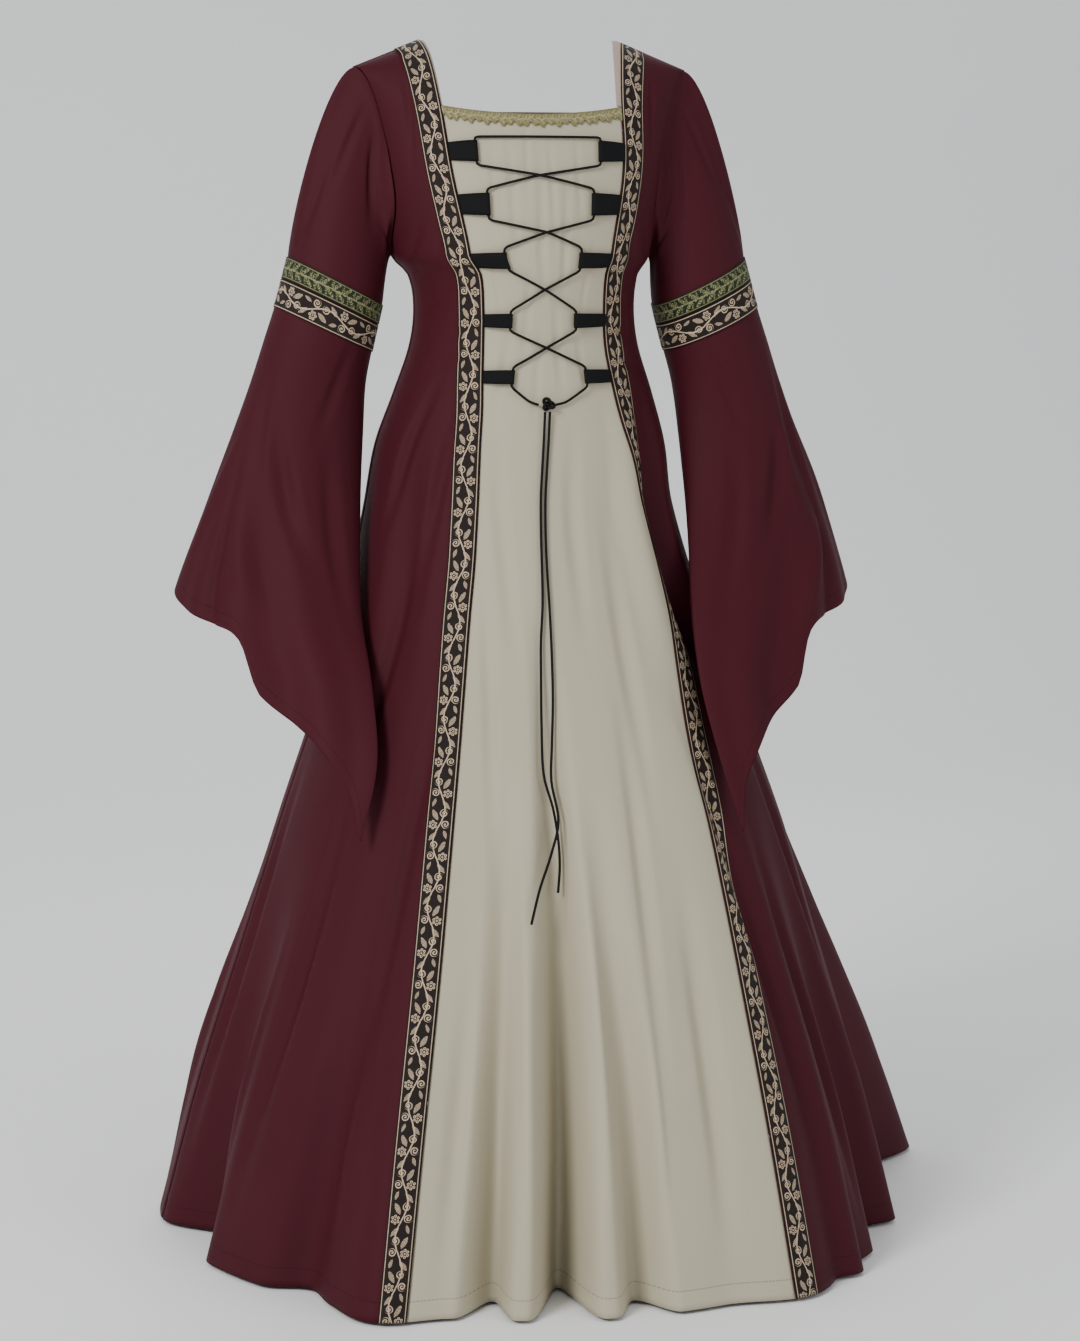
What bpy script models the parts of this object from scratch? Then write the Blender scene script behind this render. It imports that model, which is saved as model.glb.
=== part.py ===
"""Historical dress: a long gown with a laced pale front, vine ribbons and flared, pointed sleeves.

Metres, +Z up, the front toward -Y and the wearer's right arm toward -X. The origin is midway between the
shoulders, level with the underside of the straps, where the wearer carries the dress.

A place on the gown is an angle round the body (0 at the centre front, +90 at the +X side, 180 at the centre
back) and a level. Below the chest the level is the height. Above it the levels run on to 0 at the shoulder
ridge, over which front and back curve to meet.
"""
import math
from collections import namedtuple

import bmesh
import bpy
from mathutils import Vector

WALL = 0.0018
SEAM_GAP = 0.0003
ARMHOLE_GAP = 0.0009
TRIM_WALL = 0.0012
SIDES = (("left", -1), ("right", 1))

CHEST_LEVEL = -0.243
HEM_LEVEL = -1.369
SHOULDER_LEVEL = 0.0

STRAP_INNER_X = 0.113
SHOULDER_SLOPE = 0.40
SHOULDER_CURL = 1.2
SHOULDER_FULLNESS = 0.62

RIBBON_WIDTH = 0.031
BRAID_LEVEL = -0.137
NECK_LEVEL = -0.127
NECK_DIP = 0.008
FACING_WIDTH = {"left": 0.0035, "right": 0.0115}

Section = namedtuple("Section", "level half_width front_depth back_depth shift")
SECTIONS = (
    Section(-1.369, 0.440, 0.452, 0.440, 0.010),
    Section(-1.200, 0.396, 0.400, 0.392, 0.012),
    Section(-1.028, 0.340, 0.335, 0.330, 0.012),
    Section(-0.883, 0.292, 0.275, 0.272, 0.011),
    Section(-0.764, 0.250, 0.222, 0.222, 0.009),
    Section(-0.645, 0.210, 0.172, 0.178, 0.004),
    Section(-0.530, 0.181, 0.138, 0.148, -0.002),
    Section(-0.460, 0.170, 0.122, 0.130, 0.000),
    Section(-0.400, 0.151, 0.112, 0.110, 0.003),
    Section(-0.345, 0.133, 0.109, 0.098, 0.004),
    Section(-0.300, 0.128, 0.114, 0.095, 0.004),
    Section(-0.264, 0.134, 0.120, 0.098, 0.003),
    Section(-0.243, 0.150, 0.122, 0.102, 0.000),
    Section(-0.120, 0.171, 0.122, 0.102, 0.000),
    Section(0.000, 0.199, 0.122, 0.102, 0.000),
)

SeamRow = namedtuple("SeamRow", "level left right back")
SEAMS = (
    SeamRow(-1.369, -27.6, 27.2, 28.0),
    SeamRow(-1.180, -27.4, 28.0, 29.0),
    SeamRow(-1.000, -27.2, 30.2, 30.0),
    SeamRow(-0.850, -27.0, 33.0, 31.0),
    SeamRow(-0.760, -26.8, 35.6, 32.0),
    SeamRow(-0.700, -26.4, 38.4, 33.0),
    SeamRow(-0.640, -25.6, 42.0, 33.5),
    SeamRow(-0.570, -23.8, 43.6, 34.5),
    SeamRow(-0.500, -23.0, 41.0, 36.0),
    SeamRow(-0.430, -24.2, 36.6, 38.0),
    SeamRow(-0.345, -29.0, 35.6, 41.0),
    SeamRow(-0.300, -30.4, 36.0, 43.0),
    SeamRow(-0.243, -30.8, 35.2, 46.0),
    SeamRow(-0.180, -36.2, 39.4, 51.0),
    SeamRow(-0.120, -38.0, 37.4, 53.0),
    SeamRow(-0.060, -37.6, 37.0, 48.0),
    SeamRow(0.000, -36.8, 36.8, 36.8),
)

ArmholeRow = namedtuple("ArmholeRow", "level front back")
ARMHOLE = (
    ArmholeRow(-0.243, 90.0, 90.0),
    ArmholeRow(-0.209, 74.0, 78.0),
    ArmholeRow(-0.171, 74.0, 77.0),
    ArmholeRow(-0.125, 79.0, 79.0),
    ArmholeRow(-0.060, 80.0, 80.0),
    ArmholeRow(0.000, 78.0, 78.0),
)

Fold = namedtuple("Fold", "angle lean half_width depth top")
HEM_FOLDS = (
    Fold(-78.0, 4.0, 12.0, -0.062, -0.90),
    Fold(-47.0, 6.0, 7.0, -0.026, -0.80),
    Fold(-32.0, 2.0, 11.0, 0.038, -0.60),
    Fold(-17.5, 2.0, 4.5, -0.062, -0.78),
    Fold(-6.0, 2.0, 5.6, -0.110, -0.62),
    Fold(5.8, -1.0, 5.0, -0.052, -0.80),
    Fold(30.0, 1.0, 13.0, 0.030, -0.60),
    Fold(42.0, 2.0, 5.0, 0.022, -0.75),
    Fold(60.0, -2.0, 9.0, -0.050, -0.85),
    Fold(80.0, -5.0, 13.0, -0.036, -0.90),
    Fold(105.0, -6.0, 10.0, 0.100, -0.72),
    Fold(126.0, -4.0, 10.0, -0.048, -0.80),
    Fold(148.0, -3.0, 9.0, 0.030, -0.70),
    Fold(168.0, -2.0, 9.0, -0.056, -0.66),
    Fold(-173.0, 2.0, 8.0, 0.024, -0.74),
    Fold(-154.0, 3.0, 9.0, -0.050, -0.72),
    Fold(-132.0, 4.0, 10.0, 0.034, -0.80),
    Fold(-110.0, 5.0, 9.0, -0.034, -0.88),
)

BodyFold = namedtuple("BodyFold", "angle half_width depth top bottom")
BODY_FOLDS = (
    BodyFold(37.0, 10.0, 0.014, -0.36, -0.78),
    BodyFold(55.0, 12.0, -0.024, -0.36, -0.82),
    BodyFold(-52.0, 12.0, -0.008, -0.38, -0.86),
)

SleeveRow = namedtuple("SleeveRow", "level inner_x inner_y outer_x outer_y half_depth")
SLEEVE_ROWS = {
    "left": (
        SleeveRow(-0.240, 0.152, 0.010, 0.268, 0.010, 0.055),
        SleeveRow(-0.295, 0.160, 0.008, 0.283, 0.012, 0.056),
        SleeveRow(-0.341, 0.171, 0.004, 0.298, 0.014, 0.055),
        SleeveRow(-0.387, 0.181, 0.000, 0.313, 0.016, 0.053),
        SleeveRow(-0.434, 0.186, -0.012, 0.330, 0.018, 0.051),
        SleeveRow(-0.527, 0.194, -0.038, 0.365, 0.022, 0.050),
        SleeveRow(-0.645, 0.200, -0.082, 0.408, 0.026, 0.050),
        SleeveRow(-0.725, 0.196, -0.136, 0.420, 0.020, 0.038),
        SleeveRow(-0.806, 0.198, -0.184, 0.425, 0.004, 0.030),
        SleeveRow(-0.895, 0.222, -0.208, 0.430, -0.016, 0.026),
    ),
    "right": (
        SleeveRow(-0.240, 0.152, 0.010, 0.268, 0.010, 0.055),
        SleeveRow(-0.295, 0.160, 0.008, 0.283, 0.012, 0.056),
        SleeveRow(-0.341, 0.171, 0.004, 0.298, 0.014, 0.055),
        SleeveRow(-0.387, 0.183, 0.000, 0.313, 0.016, 0.053),
        SleeveRow(-0.434, 0.188, -0.012, 0.330, 0.018, 0.051),
        SleeveRow(-0.527, 0.190, -0.050, 0.365, 0.022, 0.050),
        SleeveRow(-0.645, 0.178, -0.122, 0.402, 0.006, 0.044),
        SleeveRow(-0.725, 0.176, -0.172, 0.400, -0.030, 0.034),
        SleeveRow(-0.806, 0.190, -0.206, 0.390, -0.070, 0.028),
        SleeveRow(-0.895, 0.214, -0.230, 0.380, -0.110, 0.024),
    ),
}
SLEEVE_PINCH = 0.5
FLARE_TOP = -0.400
FLARE_BOTTOM = -0.800

BandLine = namedtuple("BandLine", "level tilt")
BAND_TOP = BandLine(-0.272, 0.028)
BAND_MIDDLE = BandLine(-0.296, 0.027)
BAND_BOTTOM = BandLine(-0.328, 0.026)

SleeveHemRow = namedtuple("SleeveHemRow", "turn level")
SLEEVE_HEM = (
    SleeveHemRow(0.0, -0.622),
    SleeveHemRow(35.0, -0.640),
    SleeveHemRow(70.0, -0.660),
    SleeveHemRow(88.0, -0.676),
    SleeveHemRow(98.0, -0.735),
    SleeveHemRow(130.0, -0.795),
    SleeveHemRow(165.0, -0.878),
    SleeveHemRow(180.0, -0.888),
    SleeveHemRow(195.0, -0.875),
    SleeveHemRow(235.0, -0.785),
    SleeveHemRow(275.0, -0.705),
    SleeveHemRow(315.0, -0.648),
    SleeveHemRow(360.0, -0.622),
)

SleeveFold = namedtuple("SleeveFold", "turn lean half_width depth top")
SLEEVE_FOLDS = (
    SleeveFold(92.0, -45.0, 20.0, -0.014, -0.380),
    SleeveFold(60.0, -20.0, 18.0, 0.010, -0.420),
    SleeveFold(130.0, -30.0, 20.0, 0.008, -0.440),
    SleeveFold(250.0, 20.0, 24.0, -0.012, -0.400),
    SleeveFold(300.0, 20.0, 22.0, 0.008, -0.440),
)

SKIRT_LEVELS = (-1.369, -1.285, -1.195, -1.105, -1.015, -0.925, -0.840, -0.760, -0.685, -0.615, -0.550,
                -0.490, -0.435, -0.390, -0.345, -0.300, -0.264)
UPPER_LEVELS = (-0.243, -0.214, -0.186, -0.160, BRAID_LEVEL, NECK_LEVEL, -0.104, -0.080, -0.056, -0.034,
                -0.015, 0.0)
STRAP_LEVELS = tuple(level for level in UPPER_LEVELS if level >= NECK_LEVEL)
LEVELS = SKIRT_LEVELS + UPPER_LEVELS

FRONT_COLUMNS = 20
SIDE_FRONT_COLUMNS = 12
SIDE_BACK_COLUMNS = 11
BACK_COLUMNS = 14
LOWER_SLEEVE_ROWS = 9
CAP_ROWS = 5

LoopRow = namedtuple("LoopRow", "level left_fold right_fold standoff")
LOOP_ROWS = (
    LoopRow(-0.167, -24.0, 25.4, 0.0008),
    LoopRow(-0.207, -20.4, 22.2, 0.0008),
    LoopRow(-0.249, -14.6, 17.0, 0.0008),
    LoopRow(-0.316, -15.0, 15.8, 0.0020),
    LoopRow(-0.380, -12.3, 19.8, 0.0015),
)
LOOP_HEIGHT = 0.016
LOOP_WALL = 0.0008
LACE_RADIUS = 0.0015
LOOP_START = 0.0004
FOLD_RADIUS = LACE_RADIUS + 0.0007
LACE_STANDOFF = LOOP_WALL + FOLD_RADIUS
LACE_BEND = 0.0045
LACE_STEP = 0.016

RoutePoint = namedtuple("RoutePoint", "angle level standoff")
CROSSINGS = (
    RoutePoint(-0.6, -0.186, 0.0058),
    RoutePoint(2.4, -0.227, 0.0022),
    RoutePoint(0.8, -0.281, 0.0058),
    RoutePoint(2.0, -0.347, 0.0022),
)
CROSSING_SUM = 0.0080

KNOT = RoutePoint(2.2, -0.412, 0.0058)
KNOT_SIZE = (0.0170, 0.0095, 0.0150)

TAIL_STEP = 0.015
TAILS = {
    "lace_tail_a": (
        RoutePoint(1.2, -0.4194, 0.0058),
        RoutePoint(1.0, -0.450, 0.0040),
        RoutePoint(0.4, -0.484, 0.0036),
        RoutePoint(-0.3, -0.518, 0.0036),
        RoutePoint(-1.2, -0.560, 0.0036),
        RoutePoint(-2.1, -0.600, 0.0038),
        RoutePoint(-3.0, -0.635, 0.0042),
        RoutePoint(-4.6, -0.675, 0.0048),
        RoutePoint(-5.9, -0.715, 0.0054),
        RoutePoint(-7.2, -0.765, 0.0064),
        RoutePoint(-7.8, -0.815, 0.0080),
        RoutePoint(-6.6, -0.852, 0.0116),
        RoutePoint(-5.9, -0.885, 0.0140),
        RoutePoint(-5.4, -0.915, 0.0150),
        RoutePoint(-5.0, -0.944, 0.0160),
    ),
    "lace_tail_b": (
        RoutePoint(3.2, -0.4194, 0.0058),
        RoutePoint(2.9, -0.450, 0.0040),
        RoutePoint(2.2, -0.484, 0.0036),
        RoutePoint(1.4, -0.518, 0.0036),
        RoutePoint(0.4, -0.560, 0.0036),
        RoutePoint(-0.4, -0.600, 0.0038),
        RoutePoint(-0.9, -0.640, 0.0042),
        RoutePoint(-1.4, -0.690, 0.0048),
        RoutePoint(-2.0, -0.737, 0.0056),
        RoutePoint(-2.9, -0.785, 0.0070),
        RoutePoint(-4.4, -0.825, 0.0120),
        RoutePoint(-6.9, -0.866, 0.0190),
        RoutePoint(-8.6, -0.900, 0.0170),
        RoutePoint(-9.8, -0.934, 0.0120),
        RoutePoint(-10.6, -0.970, 0.0090),
    ),
}

PALE = (0.50, 0.46, 0.36)
WINE = (0.080, 0.010, 0.018)
TAUPE = (0.38, 0.27, 0.23)
DARK = (0.020, 0.014, 0.012)
BLACK = (0.008, 0.008, 0.009)
OLIVE = (0.30, 0.26, 0.12)


def read(rows, place, column):
    """Smooth value of a table's column at a place along its first column."""
    rows = sorted(rows, key=lambda row: row[0])
    where = 0
    while where < len(rows) - 2 and place > rows[where + 1][0]:
        where += 1
    low, high = rows[where], rows[where + 1]
    span = high[0] - low[0]
    share = min(1.0, max(0.0, (place - low[0]) / span))
    value_low, value_high = getattr(low, column), getattr(high, column)

    def slope(index):
        before, after = rows[max(0, index - 1)], rows[min(len(rows) - 1, index + 1)]
        return (getattr(after, column) - getattr(before, column)) / (after[0] - before[0])

    rise_low, rise_high = slope(where) * span, slope(where + 1) * span
    cubed, squared = share ** 3, share ** 2
    return ((2 * cubed - 3 * squared + 1) * value_low + (cubed - 2 * squared + share) * rise_low
            + (3 * squared - 2 * cubed) * value_high + (cubed - squared) * rise_high)


def turn_apart(angle, centre):
    """Signed difference of two angles in degrees, between -180 and 180."""
    return (angle - centre + 180.0) % 360.0 - 180.0


def hump(offset):
    """Soft hump from 1 at the middle to 0 at an offset of 1 either way."""
    if abs(offset) >= 1.0:
        return 0.0
    return 0.5 + 0.5 * math.cos(math.pi * offset)


def fold_height(angle, level):
    """How far the folds push the cloth out at a place on the skirt."""
    height = 0.0
    for fold in HEM_FOLDS:
        if level < fold.top:
            growth = (fold.top - level) / (fold.top - HEM_LEVEL)
            centre = fold.angle + fold.lean * (1.0 - growth)
            offset = turn_apart(angle, centre) / fold.half_width
            height += fold.depth * growth ** 1.3 * hump(offset)
    for fold in BODY_FOLDS:
        middle = (fold.top + fold.bottom) / 2
        half_height = (fold.top - fold.bottom) / 2
        along = hump((level - middle) / half_height)
        height += fold.depth * along * hump(turn_apart(angle, fold.angle) / fold.half_width)
    return height


def shoulder_ridge(x):
    """Height of the shoulder line above the origin at a distance from the middle."""
    return WALL - SHOULDER_SLOPE * max(0.0, abs(x) - STRAP_INNER_X)


def gown(angle, level):
    """Outer face of the gown at an angle and a level."""
    turn = math.radians(angle)
    half_width = read(SECTIONS, level, "half_width")
    depth = read(SECTIONS, level, "front_depth" if math.cos(turn) > 0 else "back_depth")
    across, along = math.sin(turn), -math.cos(turn)
    shift = read(SECTIONS, level, "shift")
    if level <= CHEST_LEVEL:
        outward = Vector((across / half_width, along / depth, 0.0)).normalized()
        base = Vector((shift + half_width * across, depth * along, level))
        return base + outward * fold_height(angle, level)
    risen = (level - CHEST_LEVEL) / (SHOULDER_LEVEL - CHEST_LEVEL)
    rise = math.radians(90.0) * risen
    fullness = abs(along) ** (1.0 - SHOULDER_FULLNESS * risen)
    x = shift + half_width * across
    y = math.copysign(depth * fullness, along) * max(0.0, math.cos(rise)) ** SHOULDER_CURL
    z = CHEST_LEVEL + (shoulder_ridge(x) - CHEST_LEVEL) * math.sin(rise)
    return Vector((x, y, z))


def gown_out(angle, level):
    """Unit direction straight out of the gown's outer face."""
    if level >= SHOULDER_LEVEL - 1e-6:
        slope = math.copysign(SHOULDER_SLOPE, math.sin(math.radians(angle)))
        return Vector((slope, 0.0, 1.0)).normalized()
    step_angle, step_level = 0.2, 0.001
    upper = min(SHOULDER_LEVEL, level + step_level)
    lower = max(HEM_LEVEL, level - step_level)
    if level > CHEST_LEVEL:
        lower = max(CHEST_LEVEL + 1e-5, lower)
    around = gown(angle + step_angle, level) - gown(angle - step_angle, level)
    rising = gown(angle, upper) - gown(angle, lower)
    return around.cross(rising).normalized()


def ribbon_edge(side, level):
    """Angle of a front ribbon's inner edge, which is also the seam of the pale panel."""
    return read(SEAMS, level, side)


def back_edge(side, level):
    """Angle of the seam between the centre back and a side back."""
    turn = read(SEAMS, level, "back")
    return 180.0 - turn if side == "right" else turn - 180.0


def angle_step(angle, level, distance):
    """Degrees that a distance along the ring takes at a place."""
    ring = (gown(angle + 0.5, level) - gown(angle - 0.5, level)).length
    return distance / ring


def armhole(side_sign, level, half):
    """Angle of the armhole's edge, or of the side seam below the chest."""
    if level <= CHEST_LEVEL:
        return side_sign * 90.0
    from_front = read(ARMHOLE, level, half)
    return side_sign * (from_front if half == "front" else 180.0 - from_front)


def material(name, colour, roughness):
    """A plain cloth finish."""
    finish = bpy.data.materials.new(name)
    finish.use_nodes = True
    shader = finish.node_tree.nodes["Principled BSDF"]
    shader.inputs["Base Color"].default_value = (*colour, 1.0)
    shader.inputs["Roughness"].default_value = roughness
    shader.inputs["Metallic"].default_value = 0.0
    return finish


def cloth(name, columns, rows, place, colour, closed=False):
    """A cloth wall from a grid: place(column, row) gives its outer and inner point.

    A closed piece is a tube, whose last column is its first one again.
    """
    mesh = bmesh.new()
    column_layer = mesh.verts.layers.int.new("column")
    row_layer = mesh.verts.layers.int.new("row")
    grid = bmesh.ops.create_grid(mesh, x_segments=columns, y_segments=rows, size=1.0)["verts"]
    for vert in grid:
        column = round((vert.co.x + 1.0) / 2.0 * columns)
        row = round((vert.co.y + 1.0) / 2.0 * rows)
        vert[column_layer] = column % columns if closed else column
        vert[row_layer] = row
    bmesh.ops.triangulate(mesh, faces=mesh.faces[:], quad_method="FIXED")
    for vert in mesh.verts:
        vert.co = place(vert[column_layer], vert[row_layer])[0]
    if closed:
        bmesh.ops.remove_doubles(mesh, verts=mesh.verts[:], dist=0.00001)
    outer = mesh.verts[:]
    extruded = bmesh.ops.extrude_face_region(mesh, geom=mesh.faces[:], use_keep_orig=True)
    inner = [item for item in extruded["geom"] if isinstance(item, bmesh.types.BMVert)]
    for vert in inner:
        vert.co = place(vert[column_layer], vert[row_layer])[1]
    bmesh.ops.recalc_face_normals(mesh, faces=mesh.faces[:])
    if mesh.calc_volume(signed=True) < 0:
        bmesh.ops.reverse_faces(mesh, faces=mesh.faces[:])
    assert len(outer) == len(inner)
    data = bpy.data.meshes.new(name)
    mesh.to_mesh(data)
    mesh.free()
    data.shade_smooth()
    data.set_sharp_from_angle(angle=math.radians(50.0))
    data.materials.append(material(name + "_cloth", colour, 0.75))
    piece = bpy.data.objects.new(name, data)
    bpy.context.scene.collection.objects.link(piece)
    return piece


def wall_at(angle, level, near=0.0, thick=WALL):
    """Outer and inner point of a wall that stands off the gown's outer face by near to near + thick."""
    point, out = gown(angle, level), gown_out(angle, level)
    return point + out * (near + thick), point + out * near


def panel_wall(angle, level):
    """Outer and inner point of the gown's own cloth, whose outer face is the gown's surface."""
    return wall_at(angle, level, -WALL, WALL)


def spread(first, last, share):
    return first + (last - first) * share


def centre_panel(name, edges, columns, dip, colour):
    """The centre front or back, between its two seams, up to the neckline."""
    levels = [level for level in LEVELS if level <= NECK_LEVEL]

    def place(column, row):
        level = levels[row]
        first, last = edges(level)
        gap = angle_step(first, level, SEAM_GAP / 2)
        angle = spread(first + gap, last - gap, column / columns)
        middle = 1.0 - (2.0 * column / columns - 1.0) ** 2
        if level > CHEST_LEVEL:
            level -= dip * middle * (level - CHEST_LEVEL) / (NECK_LEVEL - CHEST_LEVEL)
        return panel_wall(angle, level)

    cloth(name, columns, len(levels) - 1, place, colour)


def front_edges(level):
    return ribbon_edge("left", level), ribbon_edge("right", level)


def back_edges(level):
    return back_edge("right", level), back_edge("left", level) + 360.0


def side_angles(side, sign, level, half, columns):
    """Angles of a side panel's columns from the side seam or armhole to its inner seam."""
    if half == "front":
        inner = ribbon_edge(side, level)
        ribbon_turn = angle_step(inner, level, RIBBON_WIDTH)
        ribbon_outer = inner + sign * ribbon_turn
        outer = armhole(sign, level, half)
        gap = angle_step(inner, level, SEAM_GAP / 2)
        side_gap = angle_step(outer, level, SEAM_GAP / 2) if level <= CHEST_LEVEL else 0.0
        wide = columns - 2
        angles = [spread(outer - sign * side_gap, ribbon_outer, k / wide) for k in range(wide + 1)]
        return angles + [inner + sign * ribbon_turn / 2, inner + sign * gap]
    inner = back_edge(side, level)
    outer = armhole(sign, level, half)
    gap = angle_step(inner, level, SEAM_GAP / 2)
    side_gap = angle_step(outer, level, SEAM_GAP / 2) if level <= CHEST_LEVEL else 0.0
    return [spread(outer + sign * side_gap, inner - sign * gap, k / columns) for k in range(columns + 1)]


def meet_at_shoulder(points, level, half):
    """Parts the front from the back along the shoulder seam."""
    if level < SHOULDER_LEVEL:
        return points
    aside = Vector((0.0, -SEAM_GAP / 2 if half == "front" else SEAM_GAP / 2, 0.0))
    return points[0] + aside, points[1] + aside


def side_panel(name, side, sign, half, columns):
    """A wine side panel with its shoulder strap."""
    table = [side_angles(side, sign, level, half, columns) for level in LEVELS]

    def place(column, row):
        level = LEVELS[row]
        return meet_at_shoulder(panel_wall(table[row][column], level), level, half)

    cloth(name, columns, len(LEVELS) - 1, place, WINE)


def ribbon(name, side, sign):
    """A vine ribbon from the shoulder to the hem, on the side front's own columns."""
    margin = 0.0004

    def place(column, row):
        level = LEVELS[row]
        angles = side_angles(side, sign, level, "front", SIDE_FRONT_COLUMNS)[-3:]
        angle = angles[column]
        if column == 2:
            angle += sign * angle_step(angle, level, margin)
        points = wall_at(angle, level, SEAM_GAP, TRIM_WALL)
        return meet_at_shoulder(points, level, "front")

    cloth(name, 2, len(LEVELS) - 1, place, DARK)


def facing(name, side, sign):
    """The strap's facing, rolled out along the neck edge and widest at the shoulder."""
    levels = STRAP_LEVELS

    def place(column, row):
        level = levels[row]
        inner = ribbon_edge(side, level)
        share = (level - levels[0]) / (levels[-1] - levels[0])
        width = FACING_WIDTH[side] * spread(0.5, 1.0, share)
        offset = SEAM_GAP / 2 + width * column
        angle = inner - sign * angle_step(inner, level, offset)
        points = panel_wall(angle, level)
        if row == 0:
            points = tuple(point + Vector((0.0, 0.0, SEAM_GAP)) for point in points)
        return meet_at_shoulder(points, level, "front")

    cloth(name, 1, len(levels) - 1, place, TAUPE)


def neck_braid():
    """The leafy braid along the front neckline, on the pale panel's own points."""
    levels = (BRAID_LEVEL, NECK_LEVEL)

    def place(column, row):
        level = levels[row]
        first, last = front_edges(level)
        gap = angle_step(first, level, 0.0006)
        angle = spread(first + gap, last - gap, column / FRONT_COLUMNS)
        middle = 1.0 - (2.0 * column / FRONT_COLUMNS - 1.0) ** 2
        level -= NECK_DIP * middle * (level - CHEST_LEVEL) / (NECK_LEVEL - CHEST_LEVEL)
        return wall_at(angle, level, SEAM_GAP, TRIM_WALL)

    cloth("neck_braid", FRONT_COLUMNS, 1, place, OLIVE)


def sleeve(sign, turn, level):
    """Outer face of a sleeve below the arm: turn 0 is its outer side, 90 its front."""
    rows = SLEEVE_ROWS["left" if sign < 0 else "right"]
    angle = math.radians(turn)
    inner = Vector((read(rows, level, "inner_x"), read(rows, level, "inner_y"), level))
    outer = Vector((read(rows, level, "outer_x"), read(rows, level, "outer_y"), level))
    half_depth = read(rows, level, "half_depth")
    half_length = (outer - inner).length / 2
    outward = (outer - inner).normalized()
    frontward = Vector((outward.y, -outward.x, 0.0))
    flare = min(1.0, max(0.0, (FLARE_TOP - level) / (FLARE_TOP - FLARE_BOTTOM)))
    pinch = abs(math.sin(angle)) ** (SLEEVE_PINCH * flare)
    push = 0.0
    for fold in SLEEVE_FOLDS:
        if level < fold.top:
            growth = min(1.0, (fold.top - level) / (fold.top + 0.72))
            centre_turn = fold.turn + fold.lean * (1.0 - growth)
            push += fold.depth * growth * hump(turn_apart(turn, centre_turn) / fold.half_width)
    point = (inner + outer) / 2 + outward * half_length * math.cos(angle)
    point += frontward * (half_depth * math.sin(angle) * pinch + math.copysign(push, math.sin(angle)))
    return Vector((sign * point.x, point.y, point.z))


def band_level(line, turn):
    return line.level + line.tilt * math.cos(math.radians(turn))


ARMHOLE_LEVELS = tuple(reversed(UPPER_LEVELS))
SLEEVE_COLUMNS = 2 * (len(UPPER_LEVELS) - 1)


def sleeve_turn(column):
    return 360.0 * column / SLEEVE_COLUMNS


def armhole_place(sign, column):
    """Level, half and angle of the armhole's edge where a sleeve column starts."""
    last = len(ARMHOLE_LEVELS) - 1
    half = "front" if column <= last else "back"
    level = ARMHOLE_LEVELS[column if column <= last else 2 * last - column]
    return level, half, armhole(sign, level, half)


def cap_start(sign, column):
    """Where a sleeve column leaves the armhole, and its direction there."""
    level, half, angle = armhole_place(sign, column)
    point, out = gown(angle, level), gown_out(angle, level)
    side = Vector((sign, 0.0, 0.0))
    last = len(ARMHOLE_LEVELS) - 1
    near_armpit = hump((column - last) / 4.0)
    along = (side - out * side.dot(out) * (1.0 - near_armpit)).normalized()
    return point + along * ARMHOLE_GAP, along


def cap(sign, column, share):
    """Outer face of the sleeve cap, from the armhole at 0 to the top of the arm band at 1."""
    start, leave = cap_start(sign, column)
    turn = sleeve_turn(column)
    level = band_level(BAND_TOP, turn)
    end = sleeve(sign, turn, level)
    arrive = (end - sleeve(sign, turn, level + 0.01)).normalized()
    reach = (end - start).length
    top = 0.5 + 0.5 * math.cos(math.radians(turn))
    leave_pull = leave * reach * spread(0.25, 0.40, top)
    arrive_pull = arrive * reach * 0.9
    cubed, squared = share ** 3, share ** 2
    return (start * (2 * cubed - 3 * squared + 1) + leave_pull * (cubed - 2 * squared + share)
            + end * (3 * squared - 2 * cubed) + arrive_pull * (cubed - squared))


def cross_out(sign, around, downward):
    return (downward.cross(around) * sign).normalized()


def cap_out(sign, column, share):
    """Unit direction out of the sleeve cap."""
    if share == 0.0:
        level, half, angle = armhole_place(sign, column)
        out = gown_out(angle, level)
        last = len(ARMHOLE_LEVELS) - 1
        near_armpit = hump((column - last) / 4.0)
        return (out * (1.0 - near_armpit) + Vector((0.0, 0.0, -1.0)) * near_armpit).normalized()
    after, before = (column + 1) % SLEEVE_COLUMNS, (column - 1) % SLEEVE_COLUMNS
    around = cap(sign, after, share) - cap(sign, before, share)
    downward = cap(sign, column, min(1.0, share + 0.02)) - cap(sign, column, share - 0.02)
    return cross_out(sign, around, downward)


def sleeve_out(sign, turn, level):
    """Unit direction out of a sleeve below its cap."""
    around = sleeve(sign, turn + 1.0, level) - sleeve(sign, turn - 1.0, level)
    downward = sleeve(sign, turn, level - 0.002) - sleeve(sign, turn, level + 0.002)
    return cross_out(sign, around, downward)


def sleeve_wall(sign, turn, level, near=-WALL, thick=WALL):
    point, out = sleeve(sign, turn, level), sleeve_out(sign, turn, level)
    return point + out * (near + thick), point + out * near


def upper_sleeve(name, sign):
    """The close upper sleeve, from the armhole to the middle of the arm band."""

    def place(column, row):
        turn = sleeve_turn(column)
        if row < CAP_ROWS:
            share = row / CAP_ROWS
            point, out = cap(sign, column, share), cap_out(sign, column, share)
            return point, point - out * WALL
        line = (BAND_TOP, BAND_MIDDLE)[row - CAP_ROWS]
        level = band_level(line, turn)
        if row > CAP_ROWS:
            level += SEAM_GAP / 2
        return sleeve_wall(sign, turn, level)

    cloth(name, SLEEVE_COLUMNS, CAP_ROWS + 1, place, WINE, closed=True)


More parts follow.
